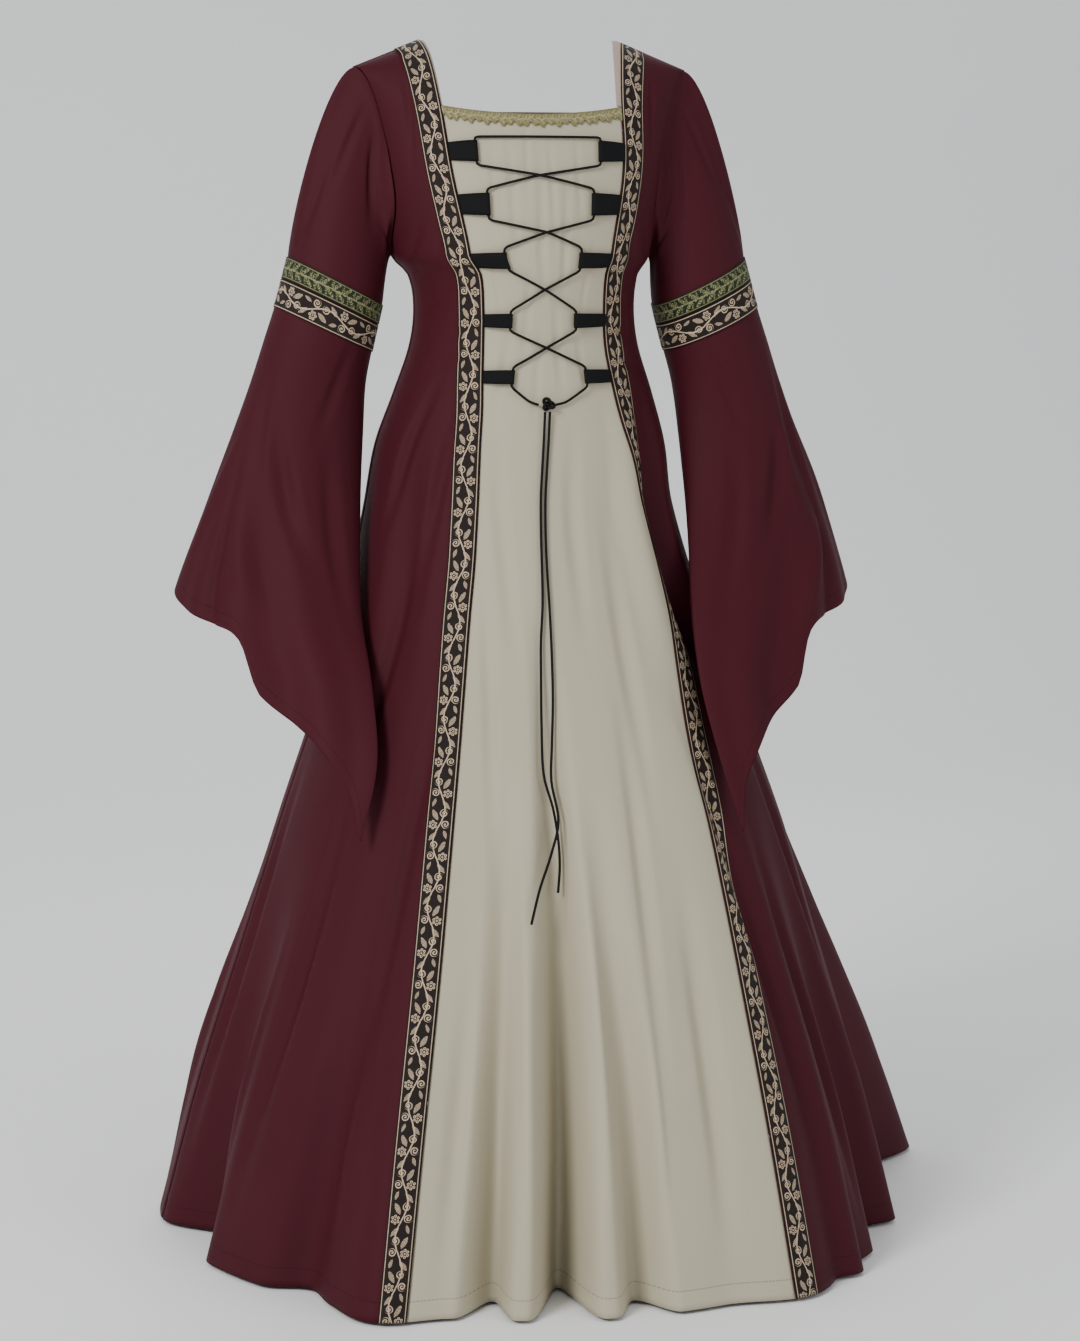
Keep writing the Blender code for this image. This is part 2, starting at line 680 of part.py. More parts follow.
def lower_sleeve(name, sign):
    """The flared lower sleeve, from the middle of the arm band to its pointed hem."""

    def place(column, row):
        turn = sleeve_turn(column)
        top = band_level(BAND_MIDDLE, turn) - SEAM_GAP / 2
        bottom = band_level(BAND_BOTTOM, turn)
        if row <= 1:
            return sleeve_wall(sign, turn, top if row == 0 else bottom)
        share = (row - 1) / (LOWER_SLEEVE_ROWS - 1)
        return sleeve_wall(sign, turn, spread(bottom, read(SLEEVE_HEM, turn, "level"), share))

    cloth(name, SLEEVE_COLUMNS, LOWER_SLEEVE_ROWS, place, WINE, closed=True)


def arm_band(name, sign, upper, lower, colour):
    """One strip of the arm band, on the sleeve's own points."""

    def place(column, row):
        turn = sleeve_turn(column)
        level = band_level(upper if row == 0 else lower, turn)
        level += -0.0005 if row == 0 else 0.0005
        return sleeve_wall(sign, turn, level, SEAM_GAP, TRIM_WALL)

    cloth(name, SLEEVE_COLUMNS, 1, place, colour, closed=True)


def fold_axis(side, sign, row):
    """Angle of the middle of a loop's fold, where the lace runs."""
    fold = getattr(row, side + "_fold")
    return fold + sign * angle_step(fold, row.level, FOLD_RADIUS + LOOP_WALL)


def loop_centre_line(straight, standoff):
    """Along and off the cloth, and the outward normal, down the folded ribbon of a lace loop."""
    low = standoff + LOOP_WALL / 2
    bend = FOLD_RADIUS + LOOP_WALL / 2
    line = [(straight * share, low, 0.0, -1.0) for share in (0.0, 0.5)]
    for turn in (-90.0, -45.0, 0.0, 45.0, 90.0):
        angle = math.radians(turn)
        across, off = math.cos(angle), math.sin(angle)
        line.append((straight + bend * across, low + bend * (1.0 + off), across, off))
    top, rest = low + 2 * bend, low + LOOP_WALL + SEAM_GAP
    for share in (0.6, 0.0):
        line.append((straight * share, spread(rest, top, math.sin(share * math.pi / 2)), 0.0, 1.0))
    return line


def lace_loop(name, side, sign, row):
    """A black ribbon folded round the lace, from the vine ribbon's edge."""
    axis = fold_axis(side, sign, row)
    per_metre = angle_step(axis, row.level, 1.0)

    def place(column, edge):
        level = row.level + LOOP_HEIGHT * (edge - 0.5)
        start = ribbon_edge(side, level) - sign * LOOP_START * per_metre
        line = loop_centre_line(abs(start - axis) / per_metre, row.standoff)
        along, off, normal_along, normal_off = line[column]
        points = []
        for shift in (LOOP_WALL / 2, -LOOP_WALL / 2):
            angle = start - sign * (along + shift * normal_along) * per_metre
            points.append(gown(angle, level) + gown_out(angle, level) * (off + shift * normal_off))
        return points

    cloth(name, len(loop_centre_line(0.0, 0.0)) - 1, 1, place, BLACK)


def on_gown(point):
    return gown(point.angle, point.level) + gown_out(point.angle, point.level) * point.standoff


def between(first, last, share):
    """Route point part of the way from one to another."""
    return RoutePoint(*(spread(start, end, share) for start, end in zip(first, last)))


def bent_line(route, bend, step):
    """Points along straight runs over the cloth, with each corner of the route rounded."""
    points, leave = [on_gown(route[0])], route[0]
    for before, corner, after in zip(route, route[1:], route[2:]):
        reach_before = (on_gown(corner) - on_gown(before)).length
        reach_after = (on_gown(after) - on_gown(corner)).length
        arrive = between(corner, before, min(0.45, bend / reach_before))
        depart = between(corner, after, min(0.45, bend / reach_after))
        points += straight_run(leave, arrive, step)
        points.append(on_gown(between(between(arrive, corner, 0.5), between(corner, depart, 0.5), 0.5)))
        points.append(on_gown(depart))
        leave = depart
    return points + straight_run(leave, route[-1], step)


def straight_run(first, last, step):
    pieces = max(1, round((on_gown(last) - on_gown(first)).length / step))
    return [on_gown(between(first, last, (piece + 1) / pieces)) for piece in range(pieces)]


def smooth_line(route, step):
    """Points along a smooth curve through the route points."""
    knots = [on_gown(point) for point in route]
    knots = [knots[0] * 2 - knots[1]] + knots + [knots[-1] * 2 - knots[-2]]
    points = []
    for before, start, end, after in zip(knots, knots[1:], knots[2:], knots[3:]):
        pieces = max(1, round((end - start).length / step))
        for piece in range(pieces):
            share = piece / pieces
            points.append(0.5 * (2 * start + (end - before) * share
                                 + (2 * before - 5 * start + 4 * end - after) * share ** 2
                                 + (3 * start - before - 3 * end + after) * share ** 3))
    return points + [knots[-2]]


def cord(name, points):
    """A round cord along points, as a tube with closed ends."""
    data = bpy.data.curves.new(name, "CURVE")
    data.dimensions = "3D"
    data.bevel_depth = LACE_RADIUS
    data.bevel_resolution = 2
    data.use_fill_caps = True
    spline = data.splines.new("POLY")
    spline.points.add(len(points) - 1)
    for target, point in zip(spline.points, points):
        target.co = (*point, 1.0)
    data.materials.append(material(name + "_cord", BLACK, 0.8))
    piece = bpy.data.objects.new(name, data)
    bpy.context.scene.collection.objects.link(piece)


def through_loop(side, row, rising):
    """The two route points just below and above a loop, in the order that the lace takes."""
    sign = -1 if side == "left" else 1
    axis = fold_axis(side, sign, row)
    clear = LOOP_HEIGHT / 2 + LACE_BEND * 0.7
    off = row.standoff + LACE_STANDOFF
    points = [RoutePoint(axis, row.level + above, off) for above in (-clear, clear)]
    return points if rising else points[::-1]


def lace_route():
    """From the knot up one way through the loops, across the neck and down the other way."""
    other = {"left": "right", "right": "left"}
    side, up = "right", []
    for number in range(len(LOOP_ROWS) - 1, -1, -1):
        up += through_loop(side, LOOP_ROWS[number], True)
        if number:
            crossing = CROSSINGS[number - 1]
            up.append(crossing._replace(standoff=CROSSING_SUM - crossing.standoff))
        side = other[side]
    side, down = "left", []
    for number, row in enumerate(LOOP_ROWS):
        if number:
            down.append(CROSSINGS[number - 1])
        down += through_loop(side, row, False)
        side = other[side]
    start = RoutePoint(KNOT.angle + 3.6, KNOT.level + 0.0005, KNOT.standoff - 0.001)
    rising = RoutePoint(KNOT.angle + 8.0, KNOT.level + 0.003, KNOT.standoff - 0.002)
    falling = RoutePoint(KNOT.angle - 7.5, KNOT.level + 0.004, KNOT.standoff - 0.002)
    end = RoutePoint(KNOT.angle - 3.6, KNOT.level + 0.0005, KNOT.standoff - 0.001)
    return [start, rising] + up + down + [falling, end]


def lace_knot():
    """The small knot that ties the lace."""
    mesh = bmesh.new()
    bmesh.ops.create_uvsphere(mesh, u_segments=10, v_segments=7, radius=0.5)
    bmesh.ops.scale(mesh, vec=KNOT_SIZE, verts=mesh.verts)
    middle = gown(KNOT.angle, KNOT.level) + gown_out(KNOT.angle, KNOT.level) * KNOT.standoff
    bmesh.ops.translate(mesh, vec=middle, verts=mesh.verts)
    data = bpy.data.meshes.new("lace_knot")
    mesh.to_mesh(data)
    mesh.free()
    data.shade_smooth()
    data.materials.append(material("lace_knot_cord", BLACK, 0.8))
    bpy.context.scene.collection.objects.link(bpy.data.objects.new("lace_knot", data))


def main():
    for old in list(bpy.data.objects):
        bpy.data.objects.remove(old)
    centre_panel("front_panel", front_edges, FRONT_COLUMNS, NECK_DIP, PALE)
    centre_panel("back_panel", back_edges, BACK_COLUMNS, 0.0, WINE)
    for side, sign in SIDES:
        side_panel("side_front_" + side, side, sign, "front", SIDE_FRONT_COLUMNS)
        side_panel("side_back_" + side, side, sign, "back", SIDE_BACK_COLUMNS)
        ribbon("ribbon_" + side, side, sign)
        facing("facing_" + side, side, sign)
        upper_sleeve("upper_sleeve_" + side, sign)
        lower_sleeve("lower_sleeve_" + side, sign)
        arm_band("garland_band_" + side, sign, BAND_TOP, BAND_MIDDLE, DARK)
        arm_band("vine_band_" + side, sign, BAND_MIDDLE, BAND_BOTTOM, DARK)
        for number, row in enumerate(LOOP_ROWS, 1):
            lace_loop("loop_%s_%d" % (side, number), side, sign, row)
    neck_braid()
    cord("lace", bent_line(lace_route(), LACE_BEND, LACE_STEP))
    lace_knot()
    for name, route in TAILS.items():
        cord(name, smooth_line(route, TAIL_STEP))


main()
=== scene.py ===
"""Historical dress: the cloth, vine ribbons, braids, loops and lace of a long gown with a laced front.

Metres, +Z up, the front toward -Y and the wearer's right arm toward -X. A place on the gown is an angle round
the body (0 at the centre front, +90 at the +X side) and a level, which is the height below the chest and runs
on above it to 0 at the shoulder ridge.
"""
import math
from collections import namedtuple
from functools import lru_cache

import bmesh
import bpy
from bpy.props import FloatProperty, FloatVectorProperty, PointerProperty
from mathutils import Matrix, Vector


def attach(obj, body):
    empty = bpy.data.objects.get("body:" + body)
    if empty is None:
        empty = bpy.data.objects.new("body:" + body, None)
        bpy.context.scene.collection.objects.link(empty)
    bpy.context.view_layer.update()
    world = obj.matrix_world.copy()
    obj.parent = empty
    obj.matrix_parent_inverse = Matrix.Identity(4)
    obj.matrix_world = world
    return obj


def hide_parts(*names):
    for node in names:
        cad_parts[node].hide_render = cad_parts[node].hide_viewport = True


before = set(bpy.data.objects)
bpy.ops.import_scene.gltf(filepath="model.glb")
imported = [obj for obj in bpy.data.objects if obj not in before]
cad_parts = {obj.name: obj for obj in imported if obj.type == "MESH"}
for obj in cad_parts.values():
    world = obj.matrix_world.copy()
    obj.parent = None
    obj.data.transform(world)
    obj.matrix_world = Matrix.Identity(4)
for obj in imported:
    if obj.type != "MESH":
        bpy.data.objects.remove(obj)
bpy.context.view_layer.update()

bl_info = {
    "name": "Laced gown",
    "version": (1, 0, 0),
    "blender": (4, 5, 0),
    "location": "View3D > Sidebar > Gown",
    "description": "Cloth, ribbons, braids, loops and lace of a long gown",
    "category": "Add Mesh",
}

CAD_WALL = 0.0018
SEAM_GAP = 0.0003
ARMHOLE_GAP = 0.0009
SIDES = (("left", -1), ("right", 1))

CHEST_LEVEL = -0.243
HEM_LEVEL = -1.369
SHOULDER_LEVEL = 0.0

STRAP_INNER_X = 0.113
SHOULDER_SLOPE = 0.40
SHOULDER_CURL = 1.2
SHOULDER_FULLNESS = 0.62

RIBBON_WIDTH = 0.031
BRAID_LEVEL = -0.137
NECK_LEVEL = -0.127
NECK_DIP = 0.008
FACING_WIDTH = {"left": 0.0035, "right": 0.0115}

Section = namedtuple("Section", "level half_width front_depth back_depth shift")
SECTIONS = (
    Section(-1.369, 0.440, 0.452, 0.440, 0.010),
    Section(-1.200, 0.396, 0.400, 0.392, 0.012),
    Section(-1.028, 0.340, 0.335, 0.330, 0.012),
    Section(-0.883, 0.292, 0.275, 0.272, 0.011),
    Section(-0.764, 0.250, 0.222, 0.222, 0.009),
    Section(-0.645, 0.210, 0.172, 0.178, 0.004),
    Section(-0.530, 0.181, 0.138, 0.148, -0.002),
    Section(-0.460, 0.170, 0.122, 0.130, 0.000),
    Section(-0.400, 0.151, 0.112, 0.110, 0.003),
    Section(-0.345, 0.133, 0.109, 0.098, 0.004),
    Section(-0.300, 0.128, 0.114, 0.095, 0.004),
    Section(-0.264, 0.134, 0.120, 0.098, 0.003),
    Section(-0.243, 0.150, 0.122, 0.102, 0.000),
    Section(-0.120, 0.171, 0.122, 0.102, 0.000),
    Section(0.000, 0.199, 0.122, 0.102, 0.000),
)

SeamRow = namedtuple("SeamRow", "level left right back")
SEAMS = (
    SeamRow(-1.369, -27.6, 27.2, 28.0),
    SeamRow(-1.180, -27.4, 28.0, 29.0),
    SeamRow(-1.000, -27.2, 30.2, 30.0),
    SeamRow(-0.850, -27.0, 33.0, 31.0),
    SeamRow(-0.760, -26.8, 35.6, 32.0),
    SeamRow(-0.700, -26.4, 38.4, 33.0),
    SeamRow(-0.640, -25.6, 42.0, 33.5),
    SeamRow(-0.570, -23.8, 43.6, 34.5),
    SeamRow(-0.500, -23.0, 41.0, 36.0),
    SeamRow(-0.430, -24.2, 36.6, 38.0),
    SeamRow(-0.345, -29.0, 35.6, 41.0),
    SeamRow(-0.300, -30.4, 36.0, 43.0),
    SeamRow(-0.243, -30.8, 35.2, 46.0),
    SeamRow(-0.180, -36.2, 39.4, 51.0),
    SeamRow(-0.120, -38.0, 37.4, 53.0),
    SeamRow(-0.060, -37.6, 37.0, 48.0),
    SeamRow(0.000, -36.8, 36.8, 36.8),
)

ArmholeRow = namedtuple("ArmholeRow", "level front back")
ARMHOLE = (
    ArmholeRow(-0.243, 90.0, 90.0),
    ArmholeRow(-0.209, 74.0, 78.0),
    ArmholeRow(-0.171, 74.0, 77.0),
    ArmholeRow(-0.125, 79.0, 79.0),
    ArmholeRow(-0.060, 80.0, 80.0),
    ArmholeRow(0.000, 78.0, 78.0),
)

Fold = namedtuple("Fold", "angle lean half_width depth top")
HEM_FOLDS = (
    Fold(-78.0, 4.0, 12.0, -0.062, -0.90),
    Fold(-47.0, 6.0, 7.0, -0.026, -0.80),
    Fold(-32.0, 2.0, 11.0, 0.038, -0.60),
    Fold(-17.5, 2.0, 4.5, -0.062, -0.78),
    Fold(-6.0, 2.0, 5.6, -0.110, -0.62),
    Fold(5.8, -1.0, 5.0, -0.052, -0.80),
    Fold(30.0, 1.0, 13.0, 0.030, -0.60),
    Fold(42.0, 2.0, 5.0, 0.022, -0.75),
    Fold(60.0, -2.0, 9.0, -0.050, -0.85),
    Fold(80.0, -5.0, 13.0, -0.036, -0.90),
    Fold(105.0, -6.0, 10.0, 0.100, -0.72),
    Fold(126.0, -4.0, 10.0, -0.048, -0.80),
    Fold(148.0, -3.0, 9.0, 0.030, -0.70),
    Fold(168.0, -2.0, 9.0, -0.056, -0.66),
    Fold(-173.0, 2.0, 8.0, 0.024, -0.74),
    Fold(-154.0, 3.0, 9.0, -0.050, -0.72),
    Fold(-132.0, 4.0, 10.0, 0.034, -0.80),
    Fold(-110.0, 5.0, 9.0, -0.034, -0.88),
)

BodyFold = namedtuple("BodyFold", "angle half_width depth top bottom")
BODY_FOLDS = (
    BodyFold(37.0, 10.0, 0.014, -0.36, -0.78),
    BodyFold(55.0, 12.0, -0.024, -0.36, -0.82),
    BodyFold(-52.0, 12.0, -0.008, -0.38, -0.86),
)

SleeveRow = namedtuple("SleeveRow", "level inner_x inner_y outer_x outer_y half_depth")
SLEEVE_ROWS = {
    "left": (
        SleeveRow(-0.240, 0.152, 0.010, 0.268, 0.010, 0.055),
        SleeveRow(-0.295, 0.160, 0.008, 0.283, 0.012, 0.056),
        SleeveRow(-0.341, 0.171, 0.004, 0.298, 0.014, 0.055),
        SleeveRow(-0.387, 0.181, 0.000, 0.313, 0.016, 0.053),
        SleeveRow(-0.434, 0.186, -0.012, 0.330, 0.018, 0.051),
        SleeveRow(-0.527, 0.194, -0.038, 0.365, 0.022, 0.050),
        SleeveRow(-0.645, 0.200, -0.082, 0.408, 0.026, 0.050),
        SleeveRow(-0.725, 0.196, -0.136, 0.420, 0.020, 0.038),
        SleeveRow(-0.806, 0.198, -0.184, 0.425, 0.004, 0.030),
        SleeveRow(-0.895, 0.222, -0.208, 0.430, -0.016, 0.026),
    ),
    "right": (
        SleeveRow(-0.240, 0.152, 0.010, 0.268, 0.010, 0.055),
        SleeveRow(-0.295, 0.160, 0.008, 0.283, 0.012, 0.056),
        SleeveRow(-0.341, 0.171, 0.004, 0.298, 0.014, 0.055),
        SleeveRow(-0.387, 0.183, 0.000, 0.313, 0.016, 0.053),
        SleeveRow(-0.434, 0.188, -0.012, 0.330, 0.018, 0.051),
        SleeveRow(-0.527, 0.190, -0.050, 0.365, 0.022, 0.050),
        SleeveRow(-0.645, 0.178, -0.122, 0.402, 0.006, 0.044),
        SleeveRow(-0.725, 0.176, -0.172, 0.400, -0.030, 0.034),
        SleeveRow(-0.806, 0.190, -0.206, 0.390, -0.070, 0.028),
        SleeveRow(-0.895, 0.214, -0.230, 0.380, -0.110, 0.024),
    ),
}
SLEEVE_PINCH = 0.5
FLARE_TOP = -0.400
FLARE_BOTTOM = -0.800

BandLine = namedtuple("BandLine", "level tilt")
BAND_TOP = BandLine(-0.272, 0.028)
BAND_MIDDLE = BandLine(-0.296, 0.027)
BAND_BOTTOM = BandLine(-0.328, 0.026)

SleeveHemRow = namedtuple("SleeveHemRow", "turn level")
SLEEVE_HEM = (
    SleeveHemRow(0.0, -0.622),
    SleeveHemRow(35.0, -0.640),
    SleeveHemRow(70.0, -0.660),
    SleeveHemRow(88.0, -0.676),
    SleeveHemRow(98.0, -0.735),
    SleeveHemRow(130.0, -0.795),
    SleeveHemRow(165.0, -0.878),
    SleeveHemRow(180.0, -0.888),
    SleeveHemRow(195.0, -0.875),
    SleeveHemRow(235.0, -0.785),
    SleeveHemRow(275.0, -0.705),
    SleeveHemRow(315.0, -0.648),
    SleeveHemRow(360.0, -0.622),
)

SleeveFold = namedtuple("SleeveFold", "turn lean half_width depth top")
SLEEVE_FOLDS = (
    SleeveFold(92.0, -45.0, 20.0, -0.014, -0.380),
    SleeveFold(60.0, -20.0, 18.0, 0.010, -0.420),
    SleeveFold(130.0, -30.0, 20.0, 0.008, -0.440),
    SleeveFold(250.0, 20.0, 24.0, -0.012, -0.400),
    SleeveFold(300.0, 20.0, 22.0, 0.008, -0.440),
)

UPPER_LEVELS = (-0.243, -0.214, -0.186, -0.160, BRAID_LEVEL, NECK_LEVEL, -0.104, -0.080, -0.056, -0.034,
                -0.015, 0.0)
LoopRow = namedtuple("LoopRow", "level left_fold right_fold standoff")
LOOP_ROWS = (
    LoopRow(-0.167, -24.0, 25.4, 0.0008),
    LoopRow(-0.207, -20.4, 22.2, 0.0008),
    LoopRow(-0.249, -14.6, 17.0, 0.0008),
    LoopRow(-0.316, -15.0, 15.8, 0.0020),
    LoopRow(-0.380, -12.3, 19.8, 0.0015),
)
LOOP_HEIGHT = 0.016
LOOP_WALL = 0.0008
LACE_RADIUS = 0.0015
LOOP_START = 0.0004
FOLD_RADIUS = LACE_RADIUS + 0.0007
LACE_STANDOFF = LOOP_WALL + FOLD_RADIUS
LACE_BEND = 0.0045
LACE_STEP = 0.005

RoutePoint = namedtuple("RoutePoint", "angle level standoff")
CROSSINGS = (
    RoutePoint(-0.6, -0.186, 0.0058),
    RoutePoint(2.4, -0.227, 0.0022),
    RoutePoint(0.8, -0.281, 0.0058),
    RoutePoint(2.0, -0.347, 0.0022),
)
CROSSING_SUM = 0.0080

KNOT = RoutePoint(2.2, -0.412, 0.0058)
KNOT_SIZE = (0.0170, 0.0095, 0.0150)

TAIL_STEP = 0.008
TAILS = {
    "lace_tail_a": (
        RoutePoint(1.2, -0.4194, 0.0058),
        RoutePoint(1.0, -0.450, 0.0040),
        RoutePoint(0.4, -0.484, 0.0036),
        RoutePoint(-0.3, -0.518, 0.0036),
        RoutePoint(-1.2, -0.560, 0.0036),
        RoutePoint(-2.1, -0.600, 0.0038),
        RoutePoint(-3.0, -0.635, 0.0042),
        RoutePoint(-4.6, -0.675, 0.0048),
        RoutePoint(-5.9, -0.715, 0.0054),
        RoutePoint(-7.2, -0.765, 0.0064),
        RoutePoint(-7.8, -0.815, 0.0080),
        RoutePoint(-6.6, -0.852, 0.0116),
        RoutePoint(-5.9, -0.885, 0.0140),
        RoutePoint(-5.4, -0.915, 0.0150),
        RoutePoint(-5.0, -0.944, 0.0160),
    ),
    "lace_tail_b": (
        RoutePoint(3.2, -0.4194, 0.0058),
        RoutePoint(2.9, -0.450, 0.0040),
        RoutePoint(2.2, -0.484, 0.0036),
        RoutePoint(1.4, -0.518, 0.0036),
        RoutePoint(0.4, -0.560, 0.0036),
        RoutePoint(-0.4, -0.600, 0.0038),
        RoutePoint(-0.9, -0.640, 0.0042),
        RoutePoint(-1.4, -0.690, 0.0048),
        RoutePoint(-2.0, -0.737, 0.0056),
        RoutePoint(-2.9, -0.785, 0.0070),
        RoutePoint(-4.4, -0.825, 0.0120),
        RoutePoint(-6.9, -0.866, 0.0190),
        RoutePoint(-8.6, -0.900, 0.0170),
        RoutePoint(-9.8, -0.934, 0.0120),
        RoutePoint(-10.6, -0.970, 0.0090),
    ),
}


Crease = namedtuple("Crease", "angle level tilt half_length half_width depth")
BODY_CREASES = (
    Crease(-19.0, -0.190, 4.0, 0.045, 0.0060, -0.0012),
    Crease(-11.0, -0.200, -2.0, 0.070, 0.0070, -0.0016),
    Crease(-4.5, -0.170, 3.0, 0.050, 0.0050, -0.0012),
    Crease(0.5, -0.230, 1.0, 0.090, 0.0080, -0.0020),
    Crease(5.5, -0.195, -3.0, 0.060, 0.0060, -0.0014),
    Crease(11.0, -0.240, 2.0, 0.080, 0.0070, -0.0018),
    Crease(17.0, -0.190, -4.0, 0.050, 0.0060, -0.0012),
    Crease(23.0, -0.270, 6.0, 0.050, 0.0060, -0.0012),
    Crease(-23.0, -0.280, -6.0, 0.050, 0.0060, -0.0014),
    Crease(-8.0, -0.310, 2.0, 0.070, 0.0070, -0.0016),
    Crease(8.0, -0.345, -3.0, 0.080, 0.0080, -0.0018),
    Crease(-2.0, -0.380, 3.0, 0.070, 0.0070, -0.0014),
    Crease(20.0, -0.360, -5.0, 0.060, 0.0070, -0.0014),
    Crease(-18.0, -0.370, 5.0, 0.070, 0.0080, -0.0016),
    Crease(11.0, -0.560, 3.0, 0.160, 0.0140, -0.0045),
    Crease(-14.0, -0.580, -3.0, 0.170, 0.0130, -0.0040),
    Crease(21.0, -0.700, 4.0, 0.220, 0.0160, -0.0060),
    Crease(-19.5, -0.760, -2.0, 0.200, 0.0120, -0.0050),
    Crease(13.5, -0.930, 3.0, 0.260, 0.0150, -0.0080),
    Crease(20.5, -1.130, 3.0, 0.230, 0.0200, -0.0110),
    Crease(1.2, -1.080, 0.0, 0.240, 0.0110, 0.0070),
    Crease(-11.5, -1.110, 0.0, 0.260, 0.0120, 0.0080),
    Crease(-23.0, -1.180, 2.0, 0.200, 0.0150, -0.0070),
    Crease(9.5, -1.180, 2.0, 0.190, 0.0110, 0.0060),
    Crease(-38.0, -0.950, 5.0, 0.300, 0.0180, -0.0090),
    Crease(-41.0, -1.200, 3.0, 0.190, 0.0140, 0.0070),
    Crease(-55.0, -0.740, 6.0, 0.200, 0.0160, -0.0060),
    Crease(-60.0, -1.060, 5.0, 0.280, 0.0220, -0.0120),
    Crease(-70.0, -1.180, 4.0, 0.220, 0.0160, 0.0090),
    Crease(-86.0, -1.080, 3.0, 0.300, 0.0200, -0.0120),
    Crease(37.0, -0.980, -3.0, 0.300, 0.0180, -0.0090),
    Crease(49.0, -1.130, -3.0, 0.250, 0.0180, -0.0110),
    Crease(68.0, -1.000, -5.0, 0.300, 0.0220, -0.0110),
    Crease(92.0, -1.130, -4.0, 0.240, 0.0200, -0.0110),
    Crease(116.0, -1.050, -5.0, 0.300, 0.0220, -0.0120),
    Crease(137.0, -1.100, -4.0, 0.270, 0.0180, 0.0100),
    Crease(158.0, -1.000, -3.0, 0.320, 0.0200, -0.0120),
    Crease(179.0, -1.110, 0.0, 0.260, 0.0180, -0.0110),
    Crease(-163.0, -1.080, 3.0, 0.280, 0.0200, -0.0100),
    Crease(-143.0, -1.120, 4.0, 0.250, 0.0200, -0.0110),
    Crease(-121.0, -1.060, 5.0, 0.300, 0.0200, -0.0110),
    Crease(-99.0, -1.150, 4.0, 0.220, 0.0180, 0.0090),
    Crease(-43.0, -0.330, 62.0, 0.050, 0.0080, -0.0022),
    Crease(-50.0, -0.365, 68.0, 0.055, 0.0090, -0.0026),
    Crease(-62.0, -0.300, 58.0, 0.050, 0.0080, -0.0020),
    Crease(-46.0, -0.250, 30.0, 0.060, 0.0110, -0.0030),
    Crease(-66.0, -0.245, 48.0, 0.055, 0.0100, -0.0030),
    Crease(50.0, -0.330, -62.0, 0.050, 0.0080, -0.0022),
    Crease(56.0, -0.372, -66.0, 0.055, 0.0090, -0.0026),
    Crease(52.0, -0.250, -32.0, 0.060, 0.0110, -0.0030),
    Crease(68.0, -0.245, -48.0, 0.055, 0.0100, -0.0030),
    Crease(-58.0, -0.470, 12.0, 0.120, 0.0140, -0.0045),
    Crease(-40.0, -0.520, 8.0, 0.150, 0.0140, -0.0045),
    Crease(52.0, -0.500, -8.0, 0.140, 0.0140, -0.0045),
    Crease(-55.0, -0.130, 8.0, 0.070, 0.0100, -0.0024),
    Crease(57.0, -0.130, -8.0, 0.070, 0.0100, -0.0024),
    Crease(130.0, -0.330, 62.0, 0.060, 0.0090, -0.0026),
    Crease(-130.0, -0.335, -62.0, 0.060, 0.0090, -0.0026),
    Crease(168.0, -0.350, 70.0, 0.060, 0.0090, -0.0024),
    Crease(-165.0, -0.375, -72.0, 0.060, 0.0090, -0.0024),
    Crease(150.0, -0.520, -6.0, 0.160, 0.0150, -0.0050),
    Crease(-150.0, -0.540, 6.0, 0.160, 0.0150, -0.0050),
    Crease(180.0, -0.230, 2.0, 0.090, 0.0120, -0.0024),
)
SLEEVE_CREASES = (
    Crease(70.0, -0.110, 12.0, 0.090, 0.0090, -0.0030),
    Crease(110.0, -0.150, -10.0, 0.080, 0.0100, -0.0034),
    Crease(150.0, -0.190, -34.0, 0.050, 0.0080, -0.0028),
    Crease(165.0, -0.225, -52.0, 0.040, 0.0070, -0.0024),
    Crease(35.0, -0.190, 10.0, 0.080, 0.0100, -0.0026),
    Crease(300.0, -0.160, -8.0, 0.080, 0.0100, -0.0030),
    Crease(230.0, -0.190, 14.0, 0.070, 0.0090, -0.0028),
    Crease(118.0, -0.400, 6.0, 0.080, 0.0100, -0.0030),
    Crease(60.0, -0.460, -10.0, 0.120, 0.0120, -0.0050),
    Crease(100.0, -0.520, -16.0, 0.130, 0.0110, -0.0060),
    Crease(140.0, -0.560, -8.0, 0.140, 0.0110, -0.0050),
    Crease(30.0, -0.520, 4.0, 0.110, 0.0120, 0.0040),
    Crease(80.0, -0.590, -14.0, 0.090, 0.0100, 0.0050),
    Crease(330.0, -0.500, 4.0, 0.120, 0.0120, -0.0040),
    Crease(270.0, -0.520, 8.0, 0.130, 0.0130, -0.0050),
    Crease(215.0, -0.540, 8.0, 0.130, 0.0110, -0.0040),
)
SLEEVE_GIRTH = 0.32

VINE_REPEAT = 0.072
GARLAND_REPEAT = 0.0140
BRAID_REPEAT = 0.0085
GARLAND_WIDTH = 0.022
KNOT_TILT = math.radians(38.0)
VINE_BAND_WIDTH = 0.031
BRAID_WIDTH = 0.010
HEM_STITCH = 0.020

CAMERA_DISTANCE = 3.73
CAMERA_AZIMUTH = -11.0
CAMERA_HEIGHT = -0.246
CAMERA_PITCH = 7.37
CAMERA_LENS = 85.64
CAMERA_SHIFT = 0.0149
FLOOR_LEVEL = -1.3735
SHEET_WIDTH_LEAST = 0.010


